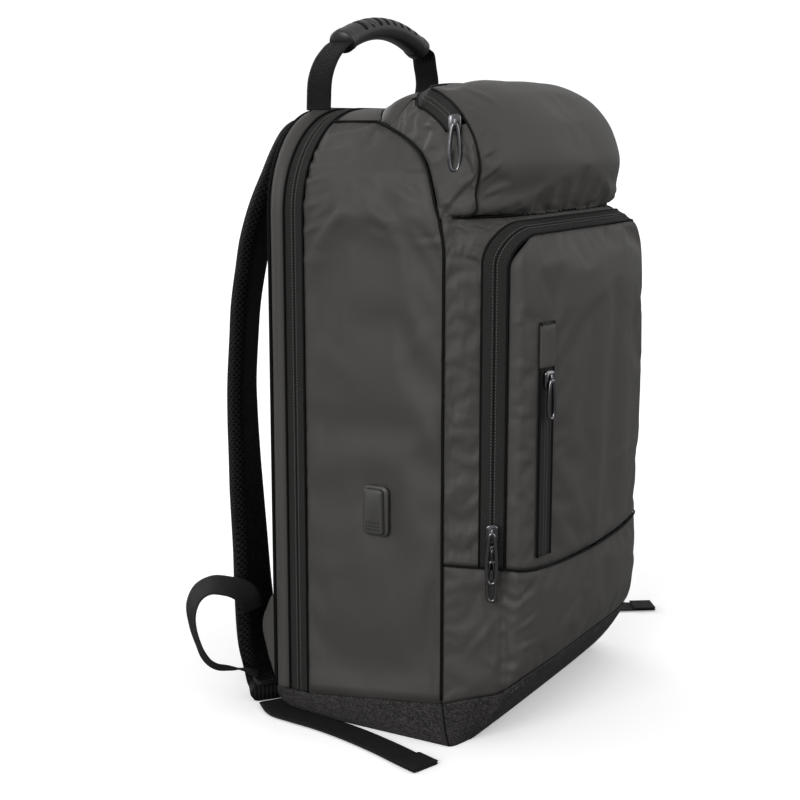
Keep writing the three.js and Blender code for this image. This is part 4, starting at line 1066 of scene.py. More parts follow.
SIDE_FOLDS = table("across down turn length width height", [
    (0.05, 0.75, 4, 30, 3.2, 1.1),
    (0.06, 0.68, -5, 26, 3.0, 1.3),
    (0.07, 0.61, 8, 28, 3.4, 1.4),
    (0.05, 0.54, 10, 32, 3.6, 1.3),
    (0.10, 0.47, 14, 34, 4.2, 1.2),
    (0.06, 0.40, -6, 28, 3.6, 1.0),
    (0.28, 0.50, 40, 40, 7.0, 1.7),
    (0.62, 0.50, -42, 38, 7.0, 1.6),
    (0.80, 0.56, -30, 30, 6.0, 1.3),
    (0.82, 0.32, 38, 34, 6.0, 1.3),
    (0.28, 0.30, -38, 38, 7.0, 1.2),
    (0.55, 0.17, 8, 46, 8.0, 1.0),
    (0.22, 0.12, 14, 40, 7.0, 0.9),
    (0.94, 0.44, 0, 22, 3.2, 0.9),
    (0.94, 0.24, 5, 22, 3.2, 0.9),
    (0.95, 0.66, -4, 22, 3.2, 0.8),
])


def side_grid(sign, rows=110, columns=56):
    place = np.linspace(0, 12, rows)
    stops = [0, 0.2, 0.4, 0.6, 0.8, 0.94, 1, 1.17, 1.28, 1.4, 1.52, 1.61, SEAM_END]
    rises = curve_through(range(len(stops)), stops, place)[:, None]
    share = np.linspace(0, 1, columns)[None, :]
    y = mix(ZIP_FRONT_Y - SEAM_GAP, seam_y(rises) + 2 * SEAM_GAP, share)
    rise = np.where(rises < 1, mix(rim_rise(y), 1, rises), rises)
    swell = SIDE_BULGE * np.sin(math.pi * share) * np.sin(math.pi * place / 12)[:, None]
    return outline(sign, rise, y, -swell)


for word, sign in SIDES:
    grid = side_grid(sign)
    grid = rolled(grid, MIDDLE, (0.8, 0.9, 1.3, 1.5))
    grid = settled(grid, MIDDLE, growth=0.005, bend=4.0)
    grid = creased(grid, MIDDLE, SIDE_FOLDS)
    if sign < 0:
        off = np.hypot((grid[..., 1] - PORT_Y) / PORT_WIDTH, (grid[..., 2] - PORT_Z) / PORT_HEIGHT)
        grid = grid + vectors(PORT_DENT * np.exp(-(off / DENT_REACH) ** 4), 0, 0)
    panel(f"side_cloth_{word}", f"side_panel_{word}", grid, MIDDLE)
    rises = np.linspace(0.09, SEAM_END, 150)
    y = seam_y(rises) + SEAM_GAP
    path = outline(sign, rises, y, -PIPING * 0.7)
    back = np.linspace(0, 1, 20)[1:, None]
    end_y = mix(y[-1], ZIP_FRONT_Y - 2, back[:, 0])
    tail = outline(sign, SEAM_END + 0.004, end_y, -PIPING * 0.35)
    piping_and_seam_shade = tube(f"piping_{word}", np.concatenate([path, tail]), PIPING, "piping_and_seam_shade")
    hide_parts(f"corner_piping_{word}")


# Bands that run over the whole arch: main zip, rear gusset, and near-black lines along the zip's edges as
# painted seam shade

def arch_rises(count):
    """Signed places along the arch from the left foot to the right one."""
    side = np.concatenate([np.linspace(0.03, 1, count), np.linspace(1, 2, count)[1:]])
    top = np.linspace(2, 3, count // 2)[1:]
    half = np.concatenate([side, top])
    return np.concatenate([half, half[:-1][::-1]]), np.repeat([-1, 1], [len(half), len(half) - 1])


def arch_path(y, inset):
    rises, signs = arch_rises(46)
    points = outline(1, np.maximum(rises, rim_rise(y)), y, inset)
    points[:, 0] *= signs
    return points


def arch_band(from_y, to_y, columns, inset, crown=0.0):
    grid = []
    for share in np.linspace(0, 1, columns):
        lift = crown * math.sin(math.pi * share)
        grid.append(arch_path(mix(from_y, to_y, share), inset - lift))
    return np.stack(grid, axis=1)


MAIN_ZIP_Y = (ZIP_FRONT_Y + ZIP_REAR_Y) / 2
zip_band = arch_band(ZIP_FRONT_Y, ZIP_REAR_Y, 13, ZIP_SINK, 0.5)
panel("main_zip_band", "main_zip_tape", zip_band, MIDDLE, "zip_tape", TAPE)
gusset_grid = rolled(arch_band(ZIP_REAR_Y + SEAM_GAP, BACK_Y, 13, 0, 1.2), MIDDLE, (0, 0, 1.0, 0.8), 2.5)
panel("rear_gusset_cloth", "rear_gusset", gusset_grid, MIDDLE)
# Near-black lines along both edges of the main zip: painted shade of the seams there.
for name, y, radius in (("front", ZIP_FRONT_Y, 0.85), ("rear", ZIP_REAR_Y, 0.8)):
    tube(f"main_zip_edge_shade_{name}", arch_path(y, -0.1), radius, "piping_and_seam_shade")
for name, shift in (("coil_a", -1.6), ("coil_b", 1.6)):
    path = arch_path(MAIN_ZIP_Y + shift, ZIP_SINK - 0.5)
    outward = unit(path - arch_path(MAIN_ZIP_Y + shift, ZIP_SINK + 5))
    stitches(f"main_zip_{name}", path, outward, "thread")
middle_line = arch_path(MAIN_ZIP_Y, ZIP_SINK - 0.3)
tube("main_zip_parting", middle_line, 0.45, "piping_and_seam_shade", 6)

# Top panel between the zip and the seam across the top

across = np.linspace(-1.05, 1.05, 61)[:, None]
share = np.linspace(0, 1, 30)[None, :]
front_y = cross_seam(np.clip(across, -1, 1), SEAM_GAP)[..., 1]
y = mix(ZIP_FRONT_Y - SEAM_GAP, front_y, share)
x = across * ROLL_LINES[0]["out"] * HALF * np.ones_like(y)
top_grid = rolled(vectors(x, y, arch_height(x, y)), MIDDLE, (0.8, 0.8, 1.0, 0.9))
panel("top_cloth", "top_panel", top_grid, MIDDLE)
tube("top_seam_cord", cross_seam(np.linspace(-1.03, 1.03, 60), 0) - [0, 0, 0.5], 0.8, "piping_and_seam_shade")

# Front pocket: lower face, with the seam that carries the zip's inner edge on downwards

LOWER_FOLDS = table("across down turn length width height", [
    (0.34, 0.55, 5, 15, 3.2, 1.1),
    (0.34, 0.35, -8, 14, 3.2, 1.1),
    (0.33, 0.75, 8, 14, 3.0, 1.0),
    (0.45, 0.40, 30, 34, 7.0, 1.0),
    (0.62, 0.55, -24, 36, 7.0, 0.9),
    (0.12, 0.50, 50, 26, 5.0, 1.0),
    (0.20, 0.25, -30, 24, 5.0, 0.9),
])
places = np.concatenate([np.linspace(-7, -4.2, 60), np.linspace(-4.1, 4.1, 90), np.linspace(4.2, 7, 60)])
shares = np.linspace(0, 1, 40)[:, None]
lower_x = np.sign(places) * front_part(places, "out") * FRONT_HALF
low = front_part(places, "hem") * RIM_FRONT + SEAM_GAP
z = mix(low, low_seam_z(lower_x) - SEAM_GAP / 2, shares)
lower_grid = front_point(np.broadcast_to(places, z.shape), z, shares * LOW_SHARE)
normal = grid_normals(lower_grid, MIDDLE)
for side in (-1, 1):
    away = lower_grid[..., 0] - side * FRONT_SECTION[2]["out"] * FRONT_HALF
    depth = lower_grid[..., 1] - (FRONT_SEAM_Y - FRONT_SECTION[2]["deep"] * POCKET_DEPTH)
    distance = np.sqrt(away ** 2 + depth ** 2)
    wobble = 1 + 0.35 * np.sin(lower_grid[..., 2] / 3.1) + 0.25 * np.sin(lower_grid[..., 2] / 1.7 + 1)
    lower_grid = lower_grid - normal * (CORNER_PULL * wobble * np.exp(-(distance / 3.2) ** 1.6))[..., None]
    pucker = np.sin(lower_grid[..., 2] / 2.4 + np.sin(lower_grid[..., 2] / 9) * 2)
    near = np.exp(-((distance - 6) / 5) ** 2) * (places * side < 4.9)[None, :]
    lower_grid = lower_grid + normal * (CORNER_PUCKER * pucker * near)[..., None]
lower_grid = rolled(lower_grid, MIDDLE, (1.0, 1.2, 1.2, 1.2))
lower_grid = settled(lower_grid, MIDDLE, growth=0.006, bend=3.0)
lower_grid = creased(lower_grid, MIDDLE, LOWER_FOLDS)
panel("pocket_lower_cloth", "front_pocket_lower", lower_grid, MIDDLE)
seam_places = np.linspace(-7, 7, 200)
seam_x = np.sign(seam_places) * front_part(seam_places, "out") * FRONT_HALF
seam = front_point(seam_places, low_seam_z(seam_x), LOW_SHARE)
tube("low_seam_cord", seam + [0, 0.3, 0], 0.9, "piping_and_seam_shade")

# Front pocket: upper face

UPPER_FOLDS = table("across down turn length width height", [
    (0.04, 0.18, 4, 13, 3.0, 0.9),
    (0.05, 0.30, -6, 12, 3.0, 1.0),
    (0.04, 0.42, 5, 13, 3.0, 1.0),
    (0.05, 0.55, -4, 12, 3.2, 0.9),
    (0.05, 0.68, 7, 14, 3.2, 0.9),
    (0.62, 0.96, 84, 16, 3.5, 0.9),
    (0.74, 0.95, 96, 18, 3.5, 1.0),
    (0.86, 0.94, 82, 16, 3.5, 0.9),
    (0.80, 0.60, 70, 60, 8.0, 0.8),
    (0.70, 0.22, 12, 50, 7.0, 0.8),
])
rows = 84
columns = 90
share = np.linspace(0, 1, rows)[:, None]
share = 1 - (1 - share) ** 1.25
across = np.linspace(-1, 1, columns)[None, :]
across = np.sign(across) * (1 - (1 - np.abs(across)) ** 1.5)
top_z = pocket_rim(1, 3, 1)[2] - SEAM_GAP
low = low_seam_z(across * FRONT_SECTION[2]["out"] * FRONT_HALF) + SEAM_GAP / 2
upper_grid = face_point(np.broadcast_to(across, (rows, columns)), mix(low, top_z, share))
upper_grid = rolled(upper_grid, MIDDLE, (1.0, 1.3, 1.4, 1.4))
beside_slot = np.abs(upper_grid[..., 0] - SLOT_X) < SLOT_WIDTH / 2 + 2
slot_foot = SLOT_TOP - SLOT_LENGTH - 2
along_slot = (upper_grid[..., 2] < SLOT_TOP + 2) & (upper_grid[..., 2] > slot_foot)
upper_grid = settled(upper_grid, MIDDLE, growth=0.009, bend=4.0, held=beside_slot & along_slot)
upper_grid = creased(upper_grid, MIDDLE, UPPER_FOLDS)
panel("pocket_upper_cloth", "front_pocket_upper", upper_grid, MIDDLE)

# Front pocket: zip and the cloth round it

rim_places = np.concatenate([np.linspace(0, 1, 60), np.linspace(1, 2, 40)[1:], np.linspace(2, 3, 30)[1:]])


def rim_path(inner):
    left = pocket_rim(-1, rim_places, inner)
    right = pocket_rim(1, rim_places[:-1], inner)[::-1]
    return np.concatenate([left, right])


def rim_band(low, high, columns, crown=0.0):
    grid = np.stack([rim_path(share) for share in np.linspace(low, high, columns)], axis=1)
    lift = np.sin(np.linspace(0, math.pi, columns)) * crown
    return grid + grid_normals(grid, MIDDLE) * lift[None, :, None]


zip_grid = rim_band(0.01, 0.99, 13, 0.3)
panel("pocket_zip_band", "front_pocket_zip_tape", zip_grid, MIDDLE, "zip_tape", TAPE)
zip_normal = grid_normals(zip_grid, MIDDLE)
# Near-black lines along both edges of the pocket zip: painted shade of the seams there.
tube("pocket_zip_edge_shade_outer", rim_path(0.0), 0.75, "piping_and_seam_shade")
tube("pocket_zip_edge_shade_inner", rim_path(1.0), 0.85, "piping_and_seam_shade")
zip_stitches("pocket_zip", zip_grid, zip_normal, (("coil_a", 5), ("coil_b", 7)), 0.2)
tube("pocket_zip_parting", zip_grid[:, 6] + zip_normal[:, 6] * 0.1, 0.45, "piping_and_seam_shade", 6)


def gusset_grid_of(sign, columns=26):
    rise = rim_places
    inner = pocket_rim(sign, rise, 0)
    corner_x = FRONT_HALF * 0.995
    seam_x = mix(corner_x, 0.7 * FRONT_HALF, ease(rise, 1.45, 2.02))
    x = np.where(rise <= 2, seam_x, mix(0.7 * FRONT_HALF, 0, rise - 2))
    on_top = ease(rise, 0.98, 1.5)
    z = np.where(rise <= 1, inner[:, 2], mix(inner[:, 2], TOP_SEAM - SEAM_GAP, on_top))
    dip = (1 - np.minimum(rise, 1)) * (low_seam_z(sign * FRONT_HALF) - low_seam_z(inner[:, 0]))
    seam_at = seam_y(np.clip(z / CORNER_START, 0, 1)) - SEAM_GAP
    side = vectors(sign * FRONT_HALF, seam_at, inner[:, 2] + dip)
    to_corner = (seam_y(1.0) - FRONT_SEAM_Y) * (x / FRONT_HALF) ** 16
    over = vectors(sign * x, top_seam_y(x) + to_corner, z)
    raised = vectors(sign * FRONT_HALF, seam_at, z)
    outer = np.where((rise <= 1)[:, None], side, mix(raised, over, on_top[:, None]))
    share = np.linspace(0, 1, columns)[None, :, None]
    return mix(outer[:, None, :], inner[:, None, :], share)


left = gusset_grid_of(-1)
right = gusset_grid_of(1)[:-1][::-1]
gusset_all = np.concatenate([left, right])
gusset_all = rolled(gusset_all, MIDDLE, (1.0, 1.0, 1.2, 1.2))
gusset_all = settled(gusset_all, MIDDLE, growth=0.02, bend=1.0)
panel("pocket_gusset_cloth", "front_pocket_gusset", gusset_all, MIDDLE)

# Slot zip on the upper face


def face_strip(width, low, high, proud, rows, columns, crown=0.0):
    z = np.linspace(low, high, rows)[:, None]
    share = np.linspace(-0.5, 0.5, columns)[None, :]
    x = SLOT_X + share * width
    lift = proud + crown * np.cos(share * math.pi)
    return on_face(np.broadcast_to(x, (rows, columns)), np.broadcast_to(z, (rows, columns)), lift[..., None])


slot_grid = face_strip(SLOT_WIDTH, SLOT_TOP - SLOT_LENGTH, SLOT_TOP, 1.7, 60, 11)
panel("slot_zip_band", "slot_zip_tape", slot_grid, MIDDLE, "zip_tape", TAPE)
slot_normal = grid_normals(slot_grid, MIDDLE)
# Near-black lines along both edges of the slot zip: painted shade of the seams there.
for name, column in (("left", 0), ("right", 10)):
    tube(f"slot_zip_edge_shade_{name}", slot_grid[:, column], 1.0, "piping_and_seam_shade")
zip_stitches("slot_zip", slot_grid, slot_normal, (("coil_a", 4), ("coil_b", 6), ("edge", 1)))
garage_top = SLOT_TOP - 2
garage_grid = face_strip(SLOT_WIDTH + 3, garage_top - GARAGE_LENGTH - 3, garage_top, 3.3, 24, 13, 1.2)
garage_grid = rolled(garage_grid, MIDDLE, (0.5, 1.2, 1.3, 1.3), 2.0)
panel("slot_garage_cloth", "slot_garage", garage_grid, MIDDLE, "coated_fabric", TAPE)

# Top pocket

SHELL_FOLDS = table("across down turn length width height", [
    (0.05, 0.34, 8, 11, 3.0, 1.3),
    (0.05, 0.46, -6, 12, 2.8, 1.5),
    (0.06, 0.58, 10, 11, 3.0, 1.4),
    (0.05, 0.70, -10, 12, 3.0, 1.5),
    (0.07, 0.82, 12, 14, 3.4, 1.3),
    (0.14, 0.30, 64, 24, 4.0, 1.0),
    (0.84, 0.86, -35, 22, 5.0, 1.2),
    (0.93, 0.74, -20, 16, 4.0, 1.1),
    (0.40, 0.92, 8, 34, 5.0, 0.9),
    (0.66, 0.90, -6, 30, 5.0, 0.9),
])
END_FOLDS = table("across down turn length width height", [
    (0.75, 0.30, 62, 22, 4.0, 1.4),
    (0.55, 0.50, 40, 24, 4.5, 1.3),
    (0.85, 0.62, 80, 18, 3.5, 1.3),
    (0.45, 0.80, 20, 26, 4.5, 1.1),
])
REAR_LINE = 2
FRONT_LINE = 3
ZIP_END_LINE = 5
LAST_LINE = 9
ROLL_INSIDE = (0, (SEAM_TOP_Y + ROLL_FRONT_Y) / 2, TOP_SEAM + ROLL_HEIGHT / 3)

lines = np.linspace(0, REAR_LINE, 30)[:, None]
across = np.linspace(-1, 1, 61)[None, :]
inside = roll_point(across, lines)
ends = []
for sign in (-1, 1):
    start = roll_start(sign, lines)
    share = np.linspace(0, 1, 10)[None, :, None][:, :-1]
    ends.append(mix(start, inside[:, :1] if sign < 0 else inside[:, -1:], share))
rear_grid = np.concatenate([ends[0], inside, ends[1][:, ::-1]], axis=1)
swell = np.sin(np.linspace(0, math.pi, rear_grid.shape[0]))[:, None]
swell = swell * np.sin(np.linspace(0, math.pi, rear_grid.shape[1]))[None, :] ** 0.5
rear_grid = rear_grid + grid_normals(rear_grid, ROLL_INSIDE) * (REAR_SWELL * swell)[..., None]
rear_grid = rolled(rear_grid, ROLL_INSIDE, (1.0, 1.0, 0.8, 0.8))
panel("top_pocket_rear_cloth", "top_pocket_rear", rear_grid, ROLL_INSIDE)

lines = np.linspace(FRONT_LINE, LAST_LINE, 90)[:, None]
across = np.linspace(-1, 1, 110)[None, :]
across = np.sign(across) * (1 - (1 - np.abs(across)) ** 1.2)
shell_grid = roll_point(across, lines)
shell_grid = rolled(shell_grid, ROLL_INSIDE, (1.0, 1.4, 1.2, 1.2))
shell_grid = settled(shell_grid, ROLL_INSIDE, growth=0.01, bend=5.0)
shell_grid = creased(shell_grid, ROLL_INSIDE, SHELL_FOLDS)
panel("top_pocket_cloth", "top_pocket_shell", shell_grid, ROLL_INSIDE)


def zip_lower(sign, line):
    return mix(roll_point(sign, line), roll_start(sign, line), TOP_ZIP_SHARE)


def top_zip_edges():
    ends = np.linspace(ZIP_END_LINE, FRONT_LINE, 12)
    over = np.linspace(-0.9, 0.9, 30)
    left = [roll_point(-1, ends), zip_lower(-1, ends)]
    middle = [roll_point(over, FRONT_LINE), roll_point(over, REAR_LINE)]
    right = [roll_point(1, ends)[::-1], zip_lower(1, ends)[::-1]]
    return [np.concatenate(parts) for parts in zip(left, middle, right)]


outer_edge, inner_edge = [resample(edge[::2], 160) for edge in top_zip_edges()]
share = np.linspace(0.02, 0.98, 11)[None, :, None]
top_zip_grid = mix(outer_edge[:, None], inner_edge[:, None], share)
panel("top_zip_band", "top_pocket_zip_tape", top_zip_grid, ROLL_INSIDE, "zip_tape", TAPE)
top_zip_normal = grid_normals(top_zip_grid, ROLL_INSIDE)
# Near-black lines along both edges of the top zip: painted shade of the seams there.
tube("top_zip_edge_shade_outer", outer_edge, 0.9, "piping_and_seam_shade")
tube("top_zip_edge_shade_inner", inner_edge, 0.9, "piping_and_seam_shade")
zip_stitches("top_zip", top_zip_grid, top_zip_normal, (("coil_a", 4), ("coil_b", 6)))

for word, sign in SIDES:
    beside_zip = np.linspace(REAR_LINE, ZIP_END_LINE, 30)
    lines = np.concatenate([beside_zip, np.linspace(ZIP_END_LINE, LAST_LINE, 50)[1:]])
    start = roll_start(sign, lines)
    roll = roll_point(sign, lines)
    to_zip = mix(roll, start, TOP_ZIP_SHARE)
    beside = mix(to_zip, roll, ease(lines, ZIP_END_LINE, ZIP_END_LINE + 0.25)[:, None])
    rear = mix(start, roll, 0.9)
    beside = mix(rear, beside, ease(lines, REAR_LINE, FRONT_LINE)[:, None])
    share = np.linspace(0, 1, 40)[None, :, None]
    end_grid = mix(start[:, None], beside[:, None], share)
    end_grid = rolled(end_grid, ROLL_INSIDE, (0.6, 1.2, 1.0, 1.2))
    end_grid = settled(end_grid, ROLL_INSIDE, growth=0.025, bend=1.5)
    end_grid = creased(end_grid, ROLL_INSIDE, END_FOLDS)
    panel(f"top_pocket_end_cloth_{word}", f"top_pocket_end_{word}", end_grid, ROLL_INSIDE)
    # A near-black line along the end seam: painted shade of the fold there.
    seam = roll_point(sign, np.linspace(ZIP_END_LINE, LAST_LINE, 60))
    tube(f"top_pocket_seam_shade_{word}", seam, 0.8, "piping_and_seam_shade")

front_seam_x = np.linspace(-0.97, 0.97, 120) * FRONT_HALF
front_seam_path = vectors(front_seam_x, top_seam_y(front_seam_x) + 0.6, TOP_SEAM)
tube("front_seam_cord", front_seam_path, 1.0, "piping_and_seam_shade")

# Base tray of ballistic cloth


def base_ring():
    rims = []
    feet = []
    rounds = []
    for place in np.linspace(-7, 7, 121):
        hem = front_part(place, "hem")
        point = front_point(np.array(place), hem * RIM_FRONT, 0)
        foot_y = mix(FOOT_CORNER_Y, FOOT_FRONT_Y, front_part(place, "deep") ** 0.5)
        rims.append(point)
        feet.append((point[0] * (HALF - BASE_TUCK) / FRONT_HALF, foot_y, 0))
        rounds.append(0.25)
    for sign in (1, -1):
        for share in np.linspace(0, 1, 30) if sign > 0 else np.linspace(1, 0, 30):
            y = mix(FRONT_SEAM_Y + SEAM_GAP, BACK_Y, share)
            rims.append((sign * half_width_at(y), y, rim_height(y)))
            tuck = mix(BASE_TUCK, FOOT_INSET, ease(share, 0.7, 1))
            feet.append((sign * (HALF - tuck), mix(FOOT_CORNER_Y, FOOT_BACK_Y, share), 0))
            rounds.append(1)
        if sign > 0:
            for x in np.linspace(HALF, -HALF, 32)[1:-1]:
                rims.append((x, BACK_Y, RIM_SIDE))
                feet.append((x * FOOT_HALF / HALF, FOOT_BACK_Y, 0))
                rounds.append(1)
    return np.array(rims, float), np.array(feet, float), np.array(rounds)


rims, feet, rounds = base_ring()
levels = np.radians(np.linspace(0, 90, 16))
rings = []
for angle in levels:
    level = angle / (math.pi / 2)
    away = mix(level, 1 - math.cos(angle), rounds)
    drop = mix(level, math.sin(angle), rounds)
    ring = mix(rims, feet, away[:, None])
    ring[:, 2] = rims[:, 2] * (1 - drop)
    beside = rounds * np.sign(rims[:, 0]) * (np.abs(rims[:, 0]) > HALF - FRONT_TAPER - 0.5)
    ring[:, 0] += beside * BASE_SWELL * math.sin(2 * angle) ** 0.7
    rings.append(ring)
tray = np.stack(rings, axis=0)
count = tray.shape[1]
u = distances(rims)
v = distances(tray[:, 60])
uv = np.stack(np.meshgrid(u, v), axis=-1).reshape(-1, 2)
points = tray.reshape(-1, 3).tolist()
uvs = uv.tolist()
faces = grid_faces(len(levels), count, closed=True)
centre = len(points)
points.append([0, 0, 0])
uvs.append([u[-1] / 2, v[-1] + 80])
last = (len(levels) - 1) * count
faces += [(last + k, last + (k + 1) % count, centre) for k in range(count)]
inner_start = len(points)
middle = np.array([0, 10, 0])
lip = rims + unit((middle - rims) * [1, 1, 0]) * 1.8
for ring in (lip, lip - [0, 0, 6]):
    points += ring.tolist()
    uvs += [[value, -2] for value in u]
for k in range(count):
    n = (k + 1) % count
    faces.append((n, k, inner_start + k, inner_start + n))
    faces.append((inner_start + n, inner_start + k, inner_start + count + k, inner_start + count + n))
base = build("base_tray", points, faces, "ballistic_fabric", uvs)
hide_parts("base_panel")
# Near-black lines up the tray's corners: painted shade of the corner seams.
for sign in (-1, 1):
    column = 0 if sign < 0 else 120
    corner = tray[:, column]
    tube(f"base_corner_seam_shade_{'left' if sign < 0 else 'right'}", corner + [0, 0, 0.2], 0.6, "piping_and_seam_shade")

# Back panel and pads

back_points = outline(1, np.maximum(arch_rises(30)[0], rim_rise(BACK_Y)), BACK_Y, 0.4)
back_points[:, 0] *= arch_rises(30)[1]
ring = [(x, z) for x, _, z in back_points][::-1]
turn = np.array([[1, 0, 0, 0], [0, 0, 1, 0], [0, 1, 0, 0], [0, 0, 0, 1.0]])
back = solid("back_mesh", ring, BACK_Y + 0.4, BACK_PANEL_Y + 0.4, 0.8, "air_mesh", turn)
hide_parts("back_panel")

for i, pad in enumerate(PAD_ROWS):
    width = 2 * (PAD_HALF_WIDTH - pad["narrow"])
    height = (pad["high"] - pad["low"]) * BAG_HEIGHT
    centre = (pad["high"] + pad["low"]) / 2 * BAG_HEIGHT
    s = np.linspace(-1, 1, 60)
    t = np.linspace(-1, 1, 40)
    gx, gz = np.meshgrid(s, t)
    fill = (1 - np.abs(gx) ** 7) * (1 - np.abs(gz) ** 4)
    depth = PAD_THICKNESS * np.sqrt(np.clip(fill, 0, 1))
    shrink = 1 - 0.06 * (np.abs(gx) * np.abs(gz)) ** 3
    grid = vectors(gx * width / 2 * shrink, BACK_PANEL_Y + 0.4 + depth, centre + gz * height / 2 * shrink)
    cushion = panel(f"back_cushion_{i + 1}", f"back_pad_{i + 1}", grid, (0, 0, centre), "pad_mesh", 1.0)

# Corner tabs

for word, sign in SIDES:
    low = RIM_SIDE + 2
    shape = [
        (BACK_PANEL_Y + PIECE_GAP, low), (BACK_PANEL_Y + PIECE_GAP, low + TAB_HEIGHT),
        (BACK_PANEL_Y + TAB_REACH * 0.75, low + TAB_HEIGHT * 0.84),
        (BACK_PANEL_Y + TAB_REACH, low + TAB_HEIGHT * 0.64),
        (BACK_PANEL_Y + TAB_REACH * 0.7, low + TAB_HEIGHT * 0.4),
        (BACK_PANEL_Y + TAB_REACH * 0.35, low + TAB_HEIGHT * 0.18),
    ]
    shape = resample(shape + shape[:1], 60)[:-1]
    start = HALF - TAB_THICKNESS - 1 if sign > 0 else -HALF + 1
    place = np.array([[0, 0, 1, start], [1, 0, 0, 0], [0, 1, 0, 0], [0, 0, 0, 1.0]])
    tab = solid(f"corner_tab_cloth_{word}", shape[::-1], 0, TAB_THICKNESS, 1.4, "coated_fabric", place)
    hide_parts(f"corner_tab_{word}")

# Shoulder straps

for word, sign in SIDES:
    middles = [
        (sign * row["out"] * HALF, BACK_Y + row["back"] * STRAP_REACH, row["up"] * BAG_HEIGHT)
        for row in STRAP_LINE
    ]
    path, place = laid(middles, 220)
    turn = np.radians(by_row(STRAP_LINE, "turn", place))
    wide = STRAP_WIDTH * by_row(STRAP_LINE, "wide", place)
    acrosses = vectors(-sign * np.cos(turn), np.sin(turn), 0)
    strap = ribbon(f"strap_{word}", path, acrosses, wide, STRAP_THICKNESS, "air_mesh", edge=7)
    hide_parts(f"shoulder_strap_{word}")

# Webbing: loops, tails and their folded ends

for word, sign in SIDES:
    middles = [
        (sign * row["out"] * HALF, BACK_Y + row["back"] * LOOP_REACH, row["up"] * LOOP_TOP)
        for row in LOOP_LINE
    ]
    path, place = laid(middles, 150)
    along = unit(np.gradient(path, axis=0))
    turn = math.radians(LOOP_TURN)
    sideways = np.array([-sign * math.cos(turn), math.sin(turn), 0])
    in_plane = unit(np.cross(along, sideways))
    show = by_row(LOOP_LINE, "show", place)[:, None]
    acrosses = in_plane * (-sign * show) + sideways * -np.sqrt(1 - show * show)
    loop = ribbon(f"loop_{word}", path, acrosses, WEBBING_WIDTH, WEBBING, "webbing")
    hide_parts(f"webbing_loop_{word}")

for (word, sign), line in zip(SIDES, (LEFT_TAIL, RIGHT_TAIL)):
    points = np.array([(r["out"] * HALF, r["back"] * BACK_Y, r["lift"] * WEBBING) for r in line])
    path = resample(points, 130)
    path[:, 2] = np.maximum(path[:, 2], WEBBING / 2 + PIECE_GAP)
    along = np.gradient(path, axis=0)
    acrosses = unit(vectors(along[:, 1], -along[:, 0], 0))
    tail = ribbon(f"tail_{word}", path, acrosses, WEBBING_WIDTH, WEBBING, "webbing")
    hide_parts(f"webbing_tail_{word}")
    back = unit((points[-2] - points[-1]) * [1, 1, 0])
    steps = np.linspace(0, TAIL_FOLD, 12)[:, None]
    fold_path = points[-1] + back * steps + [0, 0, WEBBING + PIECE_GAP]
    fold = ribbon(f"tail_end_{word}", fold_path, [acrosses[-1]] * 12, WEBBING_WIDTH, WEBBING, "webbing")
    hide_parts(f"tail_fold_{word}")

# Carry handle


def grip_path(share):
    share = np.asarray(share, float)
    lift = 1 - share * share
    z = BAG_HEIGHT + HANDLE_RISE - GRIP_DROP + GRIP_DROP * lift
    return vectors(HANDLE_SHIFT + share * GRIP_HALF_LENGTH, HANDLE_Y, z)


shares = np.linspace(-1, 1, 241)
path = grip_path(shares) + [0, 0, HANDLE_LIFT]
along = unit(np.gradient(path, axis=0))
up = vectors(-along[:, 2], 0, along[:, 0])
angles = np.linspace(0, 2 * math.pi, 49)[:-1]
points = []
uvs = []
grooves = []
for i, share in enumerate(shares):
    at = share * GRIP_HALF_LENGTH
    slot = np.mod(at / SLOT_PITCH + SLOT_COUNT % 2 / 2, 1) - 0.5
    inside = abs(at) < SLOT_COUNT / 2 * SLOT_PITCH
    groove = GROOVE_DEPTH * ease(-abs(slot) * SLOT_PITCH, -2.5, -1.7) * inside
    grooves.append(groove)
    collar_start = GRIP_HALF_LENGTH - COLLAR_LENGTH
    collar = COLLAR_RISE * ease(abs(at), collar_start, collar_start + 1)
    collar -= 1.2 * ease(abs(at), GRIP_HALF_LENGTH - 1.5, GRIP_HALF_LENGTH)
    for angle in angles:
        top = ease(math.sin(angle), 0.32, 0.5)
        y = (GRIP_WIDTH / 2 - COLLAR_RISE + collar) * math.cos(angle)
        z = (GRIP_DEPTH / 2 - COLLAR_RISE + collar) * math.sin(angle) - groove * top
        points.append(path[i] + [0, y, 0] + up[i] * z)
        uvs.append((angle * 10, at))
faces = grid_faces(len(shares), len(angles), closed=True)
count = len(angles)
faces.append(tuple(range(count))[::-1])
faces.append(tuple((len(shares) - 1) * count + k for k in range(count)))
grip = build("grip", points, faces, "grip_rubber", uvs)
# The floors of the deepest grooves are painted near-black: painted shade in the grooves.
grip.data.materials.append(MATERIALS["hole"])
for i, groove in enumerate(grooves[:-1]):
    for k, angle in enumerate(angles):
        if groove > GROOVE_DEPTH * 0.48 and math.sin(angle) > 0.42:
            grip.data.polygons[i * count + k].material_index = 1
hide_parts("handle_grip")

